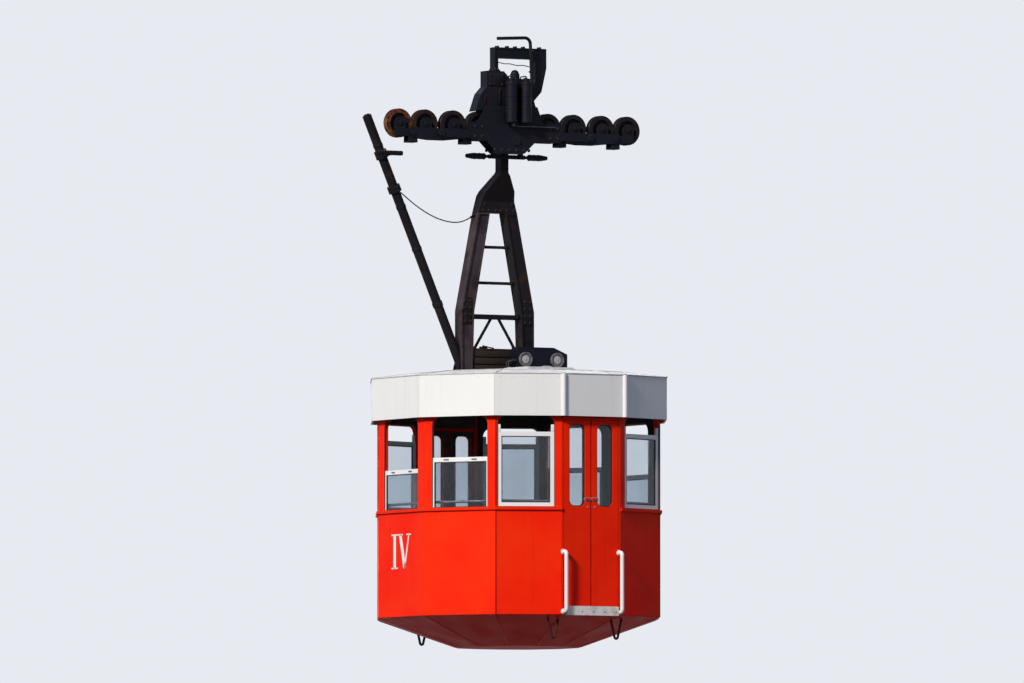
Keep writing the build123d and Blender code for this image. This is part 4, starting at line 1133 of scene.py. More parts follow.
@dataclass(frozen=True)
class CabinPlan:
    """The twelve-sided plan and the levels of the cabin."""

    centre_y: float = -0.120
    end: Flat = (1.302, 0.442)  # corner beside an end, from the middle
    shoulder: Flat = (0.912, 1.149)  # corner between a shoulder and a quarter
    door: Flat = (0.327, 1.394)  # corner beside a door
    wall: float = 0.040
    sill: float = -3.600
    window_top: float = -2.722
    door_top: float = -2.745
    fascia_out: float = 0.065  # its face, out from the walls

    @property
    def window_tall(self) -> float:
        """Height of a window's opening."""
        return self.window_top - self.sill

    @property
    def window_middle(self) -> float:
        """Height of a window's middle."""
        return (self.sill + self.window_top) / 2

    def corners(self, scale: float = 1.0) -> list[Vector]:
        """The twelve corners, anticlockwise from the +X end.

        Args:
            scale: Share of their distance from the middle.

        Returns:
            The corners, at Z = 0.
        """
        found = []
        for x_sign, y_sign, order in ((1, 1, 1), (-1, 1, -1), (-1, -1, 1), (1, -1, -1)):
            for x, y in (self.end, self.shoulder, self.door)[::order]:
                found.append(Vector((x_sign * x * scale, self.centre_y + y_sign * y * scale, 0.0)))
        return found

    def facets(self) -> list[Facet]:
        """The twelve sides in the order of their corners.

        Returns:
            The sides.
        """
        kinds = [Side.SHOULDER, Side.QUARTER, Side.DOOR, Side.QUARTER, Side.SHOULDER, Side.END] * 2
        corners = self.corners()
        found = []
        for index, kind in enumerate(kinds):
            start, end = corners[index], corners[(index + 1) % 12]
            run = end - start
            along = run.normalized()
            normal = Vector((along.y, -along.x, 0.0))
            door_end = 1 if kinds[(index + 1) % 12] is Side.DOOR else -1
            found.append(Facet(kind, (start + end) / 2, along, normal, run.length, door_end))
        return found

    def sides(self, door: bool) -> list[Facet]:
        """The sides that are doors, or those that are walls."""
        return [facet for facet in self.facets() if (facet.kind is Side.DOOR) is door]

    def corner_out(self, index: int, distance: float, height: float = 0.0) -> tuple[Vector, Vector]:
        """A corner moved out by a distance.

        Args:
            index: The corner.
            distance: How far both of its sides move out.
            height: Its height.

        Returns:
            The moved corner and the direction out of it.
        """
        facets = self.facets()
        middle = facets[index - 1].normal + facets[index].normal
        corner = self.corners()[index] + middle * (distance * 2.0 / middle.length_squared)
        return Vector((corner.x, corner.y, height)), middle.normalized()


PLAN = CabinPlan()


@dataclass(frozen=True)
class Window:
    """A window opening in a side."""

    across: float  # its middle, along the side
    width: float
    sash_top: float
    stile: float
    low_rail: float


def window_of(facet: Facet) -> Window:
    """The window of a side, as the walls have it.

    Args:
        facet: The side.

    Returns:
        The window.
    """
    margins = {
        Side.END: (0.115, 0.115, -3.215, 0.020, 0.0),
        Side.SHOULDER: (0.091, 0.091, -3.118, 0.020, 0.0),
        Side.QUARTER: (0.0655, 0.0135, -2.880, 0.042, 0.042),
    }
    door_margin, far_margin, sash_top, stile, low_rail = margins[facet.kind]
    across = facet.door_end * (far_margin - door_margin) / 2
    return Window(across, facet.width - door_margin - far_margin, sash_top, stile, low_rail)


WALL_WINDOWS = [(facet, window_of(facet)) for facet in PLAN.sides(door=False)]


# Cabin shell


@dataclass
class RoofGear:
    """Seam strips on the roof, and the hatch's grip and hinges."""

    seam: Flat = (0.030, 0.006)  # width and thickness of a strip
    crown_seam: Flat = (0.021, 0.004)
    cross_seam: Flat = (0.030, 0.005)
    crown: float = 0.74
    # where the strips across the crown are, and how far they reach to each side
    cross_seams: tuple[Flat, ...] = ((-0.62, 0.86), (0.75, 0.70))
    lip: float = 0.008
    grip_in: float = 0.09
    # the grip's run: along X, and up from the lid
    grip_line: tuple[Flat, ...] = (
        (-0.06, -0.003), (-0.055, 0.006), (0.0, 0.009), (0.055, 0.006), (0.06, -0.003))
    hinge_reach: float = 0.16

    def seams(self) -> None:
        """Strips over the ridges, round the crown and across it."""
        top_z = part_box("roof")[1].z
        foot_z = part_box("fascia_panels")[1].z + self.lip - 0.001
        heads = [Vector((corner.x, corner.y, top_z)) for corner in PLAN.corners(self.crown)]
        strips = []
        for index, head in enumerate(heads):
            foot, out = PLAN.corner_out(index, PLAN.fascia_out + 0.003, foot_z)
            strips.append(bar(foot, head - UP * 0.001, UP + out * 0.15, *self.seam))
            strips.append(bar(head, heads[(index + 1) % 12], UP, *self.crown_seam))
        for x, reach in self.cross_seams:
            near, far = (x, PLAN.centre_y - reach, top_z), (x, PLAN.centre_y + reach, top_z)
            strips.append(bar(near, far, UP, *self.cross_seam))
        mount(join(strips), "roof_seams", Finish.ROOF, *ON_WHITE)

    def hatch(self) -> None:
        """The hatch's grip and its two hinges."""
        low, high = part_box("roof_hatch")
        middle_x = (low.x + high.x) / 2
        line = [(middle_x + x, low.y + self.grip_in, high.z + z) for x, z in self.grip_line]
        fittings = [pipe(line, 0.005)]
        for x in (middle_x - self.hinge_reach, middle_x + self.hinge_reach):
            leaf_low = (x - 0.03, high.y - 0.085, high.z - 0.002)
            leaf_high = (x + 0.03, high.y - 0.005, high.z + 0.006)
            fittings.append(block(leaf_low, leaf_high))
            knuckle = facing((x - 0.035, high.y - 0.012, high.z + 0.004), (1, 0, 0))
            fittings.append(settle(disc(0.008, 0.07, 14), knuckle))
        mount(join(fittings), "hatch_fittings", Finish.ROOF, *ON_WHITE)

    def build(self) -> None:
        """Builds and mounts the pieces."""
        self.seams()
        self.hatch()


@dataclass
class WindowTrim:
    """Rubber lips, glazing beads, sash pulls and sash channels of the walls' windows."""

    play: float = 0.001
    lip: Four = (0.0875, 0.002, 0.005, 0.006)  # upper corner, lower corner, border, depth
    lip_out: float = -0.0075  # its foot, out from the wall's face
    bead: Four = (0.006, 0.006, 0.008, 0.0055)
    bead_outs: Span = (-0.0170, -0.0285)  # the outer and the inner bead's foot
    top_rail: float = 0.042
    arch: float = 0.088
    channel_in: Span = (0.0005, 0.034)  # its two sides, in from the opening
    channel_outs: Span = (-0.030, -0.0085)  # its back and face
    grip: Three = (0.028, 0.006, 0.009)  # half sizes and height of a pull
    grip_down: float = 0.020
    grip_out: float = -0.0092
    grip_across: Span = (-0.25, 0.25)  # in window widths

    def lips(self) -> None:
        """Rubber lips in the openings."""
        lips = []
        for facet, window in WALL_WINDOWS:
            lip = window_ring(window.width - self.play, PLAN.window_tall - self.play, *self.lip)
            lips.append(settle(lip, facet.place(window.across, PLAN.window_middle, self.lip_out)))
        mount(join(lips), "window_lips", Finish.RUBBER, *ON_SHEATH)

    def beads(self) -> None:
        """Glazing beads on both sides of the panes."""
        beads = []
        for facet, window in WALL_WINDOWS:
            top, foot = window.sash_top - self.top_rail, PLAN.sill + window.low_rail
            width, height = window.width - 2 * window.stile - self.play, top - foot - self.play
            places = [facet.place(window.across, (top + foot) / 2, out) for out in self.bead_outs]
            beads += [settle(window_ring(width, height, *self.bead), place) for place in places]
        mount(join(beads), "glazing_beads", Finish.RUBBER, *ON_SHEATH)

    def pulls(self) -> None:
        """Pulls on the lowered sashes."""
        half_width, half_height, height = self.grip
        pulls = []
        for facet, window in WALL_WINDOWS:
            for share in () if facet.kind is Side.QUARTER else self.grip_across:
                grip = block((-half_width, -half_height, 0.0), (half_width, half_height, height), 0.003)
                across, up = window.across + share * window.width, window.sash_top - self.grip_down
                pulls.append(settle(grip, facet.place(across, up, self.grip_out)))
        mount(join(pulls), "sash_pulls", Finish.COVER, "cabin", "cover_metal")

    def channels(self) -> None:
        """Channels above the closed sashes."""
        back, face = self.channel_outs
        head = PLAN.window_top - self.arch
        channels = []
        for facet, window in WALL_WINDOWS:
            for side in (-1, 1) if facet.kind is Side.QUARTER else ():
                edge = window.across + side * window.width / 2
                left, right = sorted(edge - side * inward for inward in self.channel_in)
                channel = block((left, window.sash_top + 0.001, back), (right, head, face), 0.0015)
                channels.append(settle(channel, facet.place(0.0, 0.0)))
        mount(join(channels), "sash_channels", Finish.SASH, *ON_WHITE)

    def build(self) -> None:
        """Builds and mounts the pieces."""
        self.lips()
        self.beads()
        self.pulls()
        self.channels()


@dataclass
class CabinShell:
    """Seams, rivets and fittings on the outside of the cabin."""

    rivet_size: Flat = (0.0055, 0.0018)  # radius and height of a rivet's head
    rivet_pitch: float = 0.105
    fascia_pitch: float = 0.12
    fascia_inset: float = 0.030
    edge: float = 0.020
    joint: Three = (0.010, 0.0026, 0.0006)  # width, thickness, rounding
    joint_sunk: float = 0.0016
    rail: Flat = (0.014, 0.014)
    tread: Flat = (0.003, 0.002)
    tread_outs: Row = (0.006, 0.013, 0.020, 0.027)
    bar_across: float = 0.309  # from a doorway's middle
    belly_seam: Flat = (0.022, 0.004)
    foot_share: float = 0.43  # size of its foot, as a share of the plan
    number_z: float = -4.0
    number_half: float = 0.160

    def fascia(self) -> None:
        """Rivets along the top and bottom of each fascia panel."""
        low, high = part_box("fascia_panels")
        places = []
        for facet in PLAN.facets():
            reach = facet.width / 2 - 0.035
            for height in (low.z + self.fascia_inset, high.z - self.fascia_inset):
                for across in steps(-reach, reach, self.fascia_pitch):
                    places.append(facet.place(across, height, PLAN.fascia_out))
        mount(spread(rivet(*self.rivet_size), places), "fascia_rivets", Finish.WHITE, *ON_WHITE)

    def wall_levels(self) -> Span:
        """Heights of the walls' feet and heads."""
        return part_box("end_walls")[0].z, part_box("fascia_panels")[0].z

    def wall_rivets(self) -> None:
        """Rivets up the edges of the walls, and in rows at the foot and under the waist bead."""
        bottom, top = self.wall_levels()
        places = []
        for facet in PLAN.sides(door=False):
            edge = facet.width / 2 - self.edge
            for side in (-edge, edge):
                narrow = facet.kind is Side.QUARTER and side * facet.door_end < 0
                head = PLAN.sill - 0.055 if narrow else top - 0.03
                for height in steps(bottom + 0.03, head, self.rivet_pitch):
                    if abs(height - PLAN.sill + 0.014) > 0.024:
                        places.append(facet.place(side, height))
            for height in (bottom + 0.022, PLAN.sill - 0.048):
                for across in steps(-edge, edge, self.rivet_pitch)[1:-1]:
                    places.append(facet.place(across, height))
        mount(spread(rivet(*self.rivet_size), places), "wall_rivets", Finish.RED, *ON_RED)

    def wall_joints(self) -> None:
        """Dark filler strips in the corners between shoulders and quarters; their darkness also stands in
        for the shadow in the joints.
        """
        bottom, top = self.wall_levels()
        joints = []
        for index in (1, 4, 7, 10):
            corner, out = PLAN.corner_out(index, 0.0)
            corner -= out * self.joint_sunk
            for low, high in ((bottom + 0.002, PLAN.sill - 0.030), (PLAN.sill + 0.002, top - 0.002)):
                joints.append(bar(corner + UP * low, corner + UP * high, out, *self.joint))
        mount(join(joints), "wall_joints", Finish.JOINT, *ON_RED)

    def door_surrounds(self) -> None:
        """Drip rails over the doors, treads and bolts on the thresholds, and flanges on the grab bars."""
        sill_low, sill_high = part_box("thresholds")
        bar_low, bar_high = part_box("grab_bars")
        rails, treads, bolts, flanges = [], [], [], []
        for facet in PLAN.sides(door=True):
            half = facet.width / 2 - 0.012
            start, end = (facet.point(across, PLAN.door_top + 0.013) for across in (-half, half))
            rails.append(bar(start, end, facet.normal, *self.rail, 0.003))
            hood = block((-half, -0.012, 0.0058), (half, 0.014, 0.0140), 0.002)
            rails.append(settle(hood, facet.place(0.0, PLAN.door_top)))
            for out in self.tread_outs:
                start, end = (facet.point(across, sill_high.z, out) for across in (-0.275, 0.275))
                treads.append(bar(start, end, UP, *self.tread, 0.0006))
            for across in steps(-0.25, 0.25, 0.125):
                bolts.append(facet.place(across, (sill_low.z + sill_high.z) / 2, 0.034))
            for across in (-self.bar_across, self.bar_across):
                for height in (bar_low.z + 0.019, bar_high.z - 0.019):
                    flanges.append(settle(disc(0.027, 0.007, 28, 0.002), facet.place(across, height)))
        mount(join(rails), "drip_rails", Finish.RED, *ON_RED)
        mount(join(treads), "threshold_treads", Finish.THRESHOLD, "cabin", "threshold_plate")
        heads = spread(bolt(0.0075, 0.006), bolts)
        mount(heads, "threshold_bolts", Finish.THRESHOLD, "cabin", "threshold_plate")
        mount(join(flanges), "grab_bar_flanges", Finish.WHITE, *ON_WHITE)

    def underside(self) -> None:
        """Seam strips down the underside's ridges."""
        low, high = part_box("underside")
        strips = []
        for index, (rim, foot) in enumerate(zip(PLAN.corners(), PLAN.corners(self.foot_share))):
            out = PLAN.corner_out(index, 0.0)[1]
            top = rim + UP * high.z
            run = foot + UP * low.z - top
            slope = Vector((out.x, out.y, -2.0)) * 0.001
            strips.append(bar(top + run * 0.03 - slope, top + run * 0.97 - slope, slope, *self.belly_seam))
        mount(join(strips), "underside_seams", Finish.RED, *ON_RED)

    def number(self) -> None:
        """A plain painted numeral on the -X end, in strokes of its own."""
        facet = PLAN.facets()[5]
        foot, head = self.number_z - self.number_half, self.number_z + self.number_half
        heavy, thin, serif = 0.050, 0.022, 0.014
        # start across, its height, end across, its height, width
        strokes = (
            (-0.125, foot, -0.125, head, heavy),
            (-0.185, head, -0.065, head, serif), (-0.185, foot, -0.065, foot, serif),
            (-0.015, head, 0.070, foot, heavy), (0.150, head, 0.070, foot, thin),
            (-0.060, head, 0.035, head, serif), (0.105, head, 0.190, head, serif),
        )
        painted = []
        for start_across, start_z, end_across, end_z, width in strokes:
            start, end = facet.point(start_across, start_z, -0.0002), facet.point(end_across, end_z, -0.0002)
            painted.append(bar(start, end, facet.normal, width, 0.0010, 0.0))
        mount(join(painted), "cabin_number", Finish.WHITE, *ON_WHITE)

    def build(self) -> None:
        """Builds and mounts the pieces."""
        self.fascia()
        RoofGear().build()
        self.wall_rivets()
        self.wall_joints()
        WindowTrim().build()
        self.door_surrounds()
        self.underside()
        self.number()


@dataclass
class DoorFittings:
    """Handle, lock, seals, lining and glazing beads of one door leaf."""

    name: str
    x_sign: int  # the side of the doorway that the leaf is on
    y_sign: int  # the way out of the doorway
    bead: Four = (0.0595, 0.0595, 0.009, 0.006)  # upper corner, lower corner, border, depth
    bead_depths: Span = (0.0165, 0.0235)  # the outer and the inner bead's foot, in from the face
    handle_x: float = 0.040
    handle_z: float = -3.520
    # width, height, corners, border and depth of the rim round the handle
    handle_rim: Row = (0.078, 0.034, 0.010, 0.010, 0.007, 0.003)
    # the handle's run along X, and how far in from the face
    grip_line: tuple[Flat, ...] = ((-0.031, 0.006), (-0.020, 0.001), (0.020, 0.001), (0.031, 0.006))
    lock_down: float = 0.075
    # free and fixed side of the rubber where the leaves meet, out from the doorway's middle
    meeting_lip: Span = (-0.0010, 0.0064)
    hinge_lip: Span = (0.2998, 0.3048)  # fixed and free side of the rubber beside the hinges
    # how far in from the face the left and the right leaf's meeting lips are, so that they pass
    lip_depths: Span = (0.024, 0.032)
    lip_half: float = 0.003
    lining_x: Span = (0.012, 0.272)  # its two sides
    lining_inset: float = 0.015
    lining: Span = (-0.0001, 0.002)  # its back and face, in from the leaf

    def build(self) -> None:
        """Builds and mounts the pieces."""
        self.pane_beads()
        self.pull()
        self.inner_lining()
        self.seals()

    @property
    def face_y(self) -> float:
        """Y of the leaf's outer face."""
        return PLAN.centre_y + self.y_sign * PLAN.door[1]

    def pane_beads(self) -> None:
        """Glazing beads on both sides of the pane."""
        low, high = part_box(self.name + "_pane")
        middle = (low + high) / 2
        width, height = high.x - low.x - 0.001, high.z - low.z - 0.001
        rings = []
        for depth, side in zip(self.bead_depths, (1, -1)):
            place = sideways(middle.x, self.face_y - self.y_sign * depth, middle.z, self.y_sign * side)
            rings.append(settle(window_ring(width, height, *self.bead), place))
        piece = self.name.replace("_door", "_pane_bead")
        mount(join(rings), piece, Finish.RUBBER, self.name, "cable_sheath")

    def pull(self) -> None:
        """The handle in its rim, and the lock."""
        x, y, z = self.x_sign * self.handle_x, self.face_y, self.handle_z
        rim = settle(window_ring(*self.handle_rim), sideways(x, y - self.y_sign * 0.0005, z, self.y_sign))
        grip = pipe([(x + shift, y - self.y_sign * depth, z) for shift, depth in self.grip_line], 0.0045)
        lock = settle(disc(0.009, 0.004, 20), sideways(x, y, z - self.lock_down, self.y_sign))
        mount(join([rim, grip, lock]), self.name + "_pull", Finish.PULL, self.name, "cover_metal")

    def seals(self) -> None:
        """Soft lips where the leaves meet and beside the hinges."""
        low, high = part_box(self.name + "_leaf")
        meeting_depth = self.lip_depths[0 if self.x_sign < 0 else 1]
        lips = []
        for span, depth in ((self.meeting_lip, meeting_depth), (self.hinge_lip, self.lip_depths[0])):
            left, right = sorted(self.x_sign * across for across in span)
            lip_y = self.face_y - self.y_sign * depth
            near, far = lip_y - self.lip_half, lip_y + self.lip_half
            lips.append(block((left, near, low.z + 0.001), (right, far, high.z - 0.001), 0.001))
        mount(join(lips), self.name + "_seal", Finish.RUBBER, self.name, "cable_sheath")

    def inner_lining(self) -> None:
        """Thin near-black lining on the inner face, cut out round the pane; its darkness also stands in for
        the shade inside the cabin.
        """
        low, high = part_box(self.name + "_leaf")
        pane_low, pane_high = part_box(self.name + "_pane")
        inner_y = low.y if self.y_sign > 0 else high.y
        left, right = sorted(self.x_sign * across for across in self.lining_x)
        near, far = sorted(inner_y - self.y_sign * inward for inward in self.lining)
        sheet = block((left, near, low.z + self.lining_inset), (right, far, high.z - self.lining_inset), 0.0)
        middle = (pane_low + pane_high) / 2
        outline = rounded_outline(pane_high.x - pane_low.x, pane_high.z - pane_low.z, 0.060, 0.060)
        hole = settle(plate(outline, 0.02, 0.0), sideways(middle.x, inner_y + 0.010, middle.z, -1))
        mount(cut(sheet, hole), self.name + "_lining", Finish.LINING, self.name)


@dataclass
class CabinInside:
    """Lining, ceiling, rails and lamp that show through the windows."""

    thickness: float = 0.004
    ceiling_share: float = 0.955
    batten_half: float = 0.015
    batten_pitch: float = 0.45
    batten_reach: Span = (1.02, 1.2)  # the outer and the inner battens'
    lamp_radius: Span = (0.115, 0.095)
    lamp_drop: float = 0.012
    rail_drop: float = 0.060
    rail_radius: float = 0.014
    rail_in: float = 0.100  # in from the walls' faces
    rail_bend: float = 0.06  # from a corner
    rail_short: float = 0.05

    def lining(self) -> None:
        """Near-black lining over the walls' inner faces, round the windows; its darkness also stands in for
        the shade inside the cabin.
        """
        floor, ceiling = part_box("floor")[1].z + 0.002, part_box("roof")[0].z - 0.006
        depth = -PLAN.wall - 0.0003
        panels = []
        for facet in PLAN.facets():
            inner = facet.width / 2 - PLAN.wall * 0.32
            if facet.kind is Side.DOOR:
                foot = PLAN.door_top + 0.012
                panels.append(self.panel(facet, inner - 0.01, foot, ceiling, depth))
                continue
            window = window_of(facet)
            outline = rounded_outline(window.width + 0.002, PLAN.window_tall + 0.002, 0.088, 0.001)
            middle = facet.place(window.across, PLAN.window_middle, depth - 0.015)
            sheet = self.panel(facet, inner, floor, ceiling, depth)
            panels.append(cut(sheet, settle(plate(outline, 0.03, 0.0), middle)))
        mount(join(panels), "wall_lining", Finish.LINING, "cabin")

    def panel(self, facet: Facet, half: float, foot: float, head: float, depth: float) -> Object:
        """One panel on a side's inner face, between two heights at a depth."""
        sheet = block((-half, foot, -self.thickness), (half, head, 0.0), 0.0008)
        return settle(sheet, facet.place(0.0, 0.0, depth))

    def ceiling(self) -> None:
        """Ceiling with its battens in the near-black lining, whose darkness also stands in for the shade
        under the roof, and a flat lamp with its rim.
        """
        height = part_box("roof")[0].z
        sheet = plate([(corner.x, corner.y) for corner in PLAN.corners(self.ceiling_share)], 0.004)
        boards = [settle(sheet, Matrix.Translation((0.0, 0.0, height - 0.0045)))]
        for x in steps(-0.9, 0.9, self.batten_pitch):
            reach = self.batten_reach[0 if abs(x) > 0.7 else 1]
            boards.append(block((x - self.batten_half, PLAN.centre_y - reach, height - 0.014),
                                (x + self.batten_half, PLAN.centre_y + reach, height - 0.004)))
        mount(join(boards), "ceiling_lining", Finish.LINING, "cabin")
        hung = facing((0.0, PLAN.centre_y, height - self.lamp_drop), -UP)
        foot, face = self.lamp_radius
        mount(settle(disc(foot, 0.03, 40, 0.012, face), hung), "cabin_lamp", Finish.LAMP, "cabin")
        rim = settle(ring(foot + 0.015, 0.014, 0.014, 48, 0.003), hung)
        mount(rim, "cabin_lamp_rim", Finish.COVER, "cabin", "cover_metal")

    def rails(self) -> None:
        """A hand rail round each end, on stays from the corner posts."""
        height = PLAN.sill + self.rail_drop
        parts = []
        for before, *corners, after in ((9, 10, 11, 0, 1, 2), (3, 4, 5, 6, 7, 8)):
            posts = [PLAN.corner_out(index, -self.rail_in, height) for index in corners]
            ends = [self.rail_end(index, door, height) for index, door in
                    ((corners[0], before), (corners[-1], after))]
            points = [ends[0], *(post for post, _ in posts), ends[1]]
            spaced = []
            for start, end in zip(points, points[1:]):
                bend = (end - start).normalized() * self.rail_bend
                spaced += [start, start + bend, end - bend]
            parts.append(pipe([*spaced, points[-1]], self.rail_radius))
            for index, (post, out) in zip(corners, posts):
                wall, _ = PLAN.corner_out(index, -PLAN.wall - 0.002, height)
                parts.append(settle(disc(0.007, (wall - post).length, 14, 0.0), facing(post, out)))
        mount(join(parts), "cabin_hand_rails", Finish.RUBBED, "cabin", "cover_metal")

    def rail_end(self, index: int, door: int, height: float) -> Vector:
        """Where a rail stops short of a door.

        Args:
            index: The last corner that the rail goes round.
            door: The corner beside the door.
            height: Height of the rail.

        Returns:
            The rail's end.
        """
        corner, _ = PLAN.corner_out(index, -self.rail_in, height)
        run = PLAN.corner_out(door, -self.rail_in, height)[0] - corner
        return corner + run * ((run.length - self.rail_short) / run.length)

    def build(self) -> None:
        """Builds and mounts the pieces."""
        self.lining()
        self.ceiling()
        self.rails()


# Hanger and roof gear


@dataclass
class Hanger:
    """Rivets, splices, cleats and bolts on the hanger."""

    faces: Span = (0.275, 0.405)  # Y of the legs' near and far faces
    top: Span = (0.088, 0.214)  # X of a leg's sides
    knee: Span = (0.262, 0.405)
    foot: Span = (0.280, 0.405)
    levels: Span = (-0.685, -1.640)  # heights of the top and the knee
    rivet_inset: float = 0.0085
    rivet_pitch: float = 0.075
    rivet_size: Flat = (0.0058, 0.0035)
    # width, height, corners and thickness of a knee's splice plate
    splice: Four = (0.098, 0.26, 0.012, 0.007)
    splice_sunk: float = 0.012
    # across and up from its middle
    splice_bolts: tuple[Row, ...] = ((-0.030, 0.030), (-0.10, -0.035, 0.035, 0.10))
    eye_y: float = 0.252
    # where the head's bolts are, with their height
    head_bolts: tuple[tuple[float, Row], ...] = (
        (-0.66, (-0.17, -0.10, -0.03, 0.03, 0.10, 0.17)), (-0.60, (-0.15, 0.15)))
    # height, half length and half depth of each rung
    rungs: tuple[Three, ...] = ((-1.015, 0.149, 0.014), (-1.363, 0.2125, 0.014), (-1.692, 0.263, 0.030))
    rung_y: float = 0.340
    cleat: Four = (0.05, 0.030, 0.004, 0.004)
    cleat_in: float = 0.028

    def leg_rivets(self) -> None:
        """Rows of rivets along the legs' flanges."""
        foot_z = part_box("base_plate")[1].z + 0.03
        head_z, knee_z = self.levels
        places = []
        for x_sign in (-1, 1):
            for face, y_sign in zip(self.faces, (-1, 1)):
                for column, shift in ((0, self.rivet_inset), (1, -self.rivet_inset)):
                    sides = (self.top[column], self.knee[column], self.foot[column])
                    points = [(x_sign * (x + shift), face, z) for x, z in
                              zip(sides, (head_z - 0.03, knee_z, foot_z))]
                    for start, end in zip(points, points[1:]):
                        first, run = Vector(start), Vector(end) - Vector(start)
                        shares = steps(0.0, 1.0, self.rivet_pitch / run.length)
                        places += [sideways(*(first + run * share), y_sign) for share in shares]
        mount(spread(rivet(*self.rivet_size), places), "leg_rivets", Finish.HANGER, *ON_HANGER)

    def knee_splices(self) -> None:
        """Splice plates with bolts in the recesses at the legs' knees."""
        plates, bolts = [], []
        knee_z, thickness = self.levels[1], self.splice[3]
        for x_sign in (-1, 1):
            centre = x_sign * (self.knee[0] + self.knee[1]) / 2
            for outer, y_sign in zip(self.faces, (-1, 1)):
                face = outer - y_sign * self.splice_sunk
                plates.append(settle(rounded_plate(*self.splice), sideways(centre, face, knee_z, y_sign)))
                for x in self.splice_bolts[0]:
                    for z in self.splice_bolts[1]:
                        bolts.append(sideways(centre + x, face + y_sign * thickness, knee_z + z, y_sign))
        mount(join(plates), "knee_splices", Finish.HANGER, *ON_HANGER)
        mount(spread(bolt(0.009, 0.008), bolts), "knee_bolts", Finish.BOLT, *ON_HANGER)

    def head(self) -> None:
        """Washer and lock bolt at the hanger's eye, and bolts at its shoulders."""
        washer = settle(ring(0.072, 0.022, 0.004, 40), sideways(0.0, self.eye_y, 0.0, 1))
        lock = settle(disc(0.014, 0.020, 6, 0.002), sideways(0.030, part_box("hanger_pin")[1].y, 0.0, 1))
        mount(join([washer, lock]), "eye_washer", Finish.BOLT, *ON_HANGER)
        places = []
        for z, row in self.head_bolts:
            for x in row:
                places += [sideways(x, face, z, y_sign) for face, y_sign in zip(self.faces, (-1, 1))]
        mount(spread(bolt(0.010, 0.009), places), "head_bolts", Finish.BOLT, *ON_HANGER)

    def rung_ends(self) -> None:
        """Cleats with bolts at the ends of the rungs."""
        cleats, bolts = [], []
        for z, half, depth in self.rungs:
            for x in (self.cleat_in - half, half - self.cleat_in):
                for y_sign in (-1, 1):
                    face = self.rung_y + y_sign * depth
                    cleats.append(settle(rounded_plate(*self.cleat), sideways(x, face, z, y_sign)))
                    bolts.append(sideways(x, face + y_sign * self.cleat[3], z, y_sign))
        mount(join(cleats), "rung_cleats", Finish.HANGER, *ON_HANGER)
        mount(spread(bolt(0.007, 0.007), bolts), "rung_bolts", Finish.BOLT, *ON_HANGER)

    def build(self) -> None:
        """Builds and mounts the pieces."""
        self.leg_rivets()
        self.knee_splices()
        self.head()
        self.rung_ends()


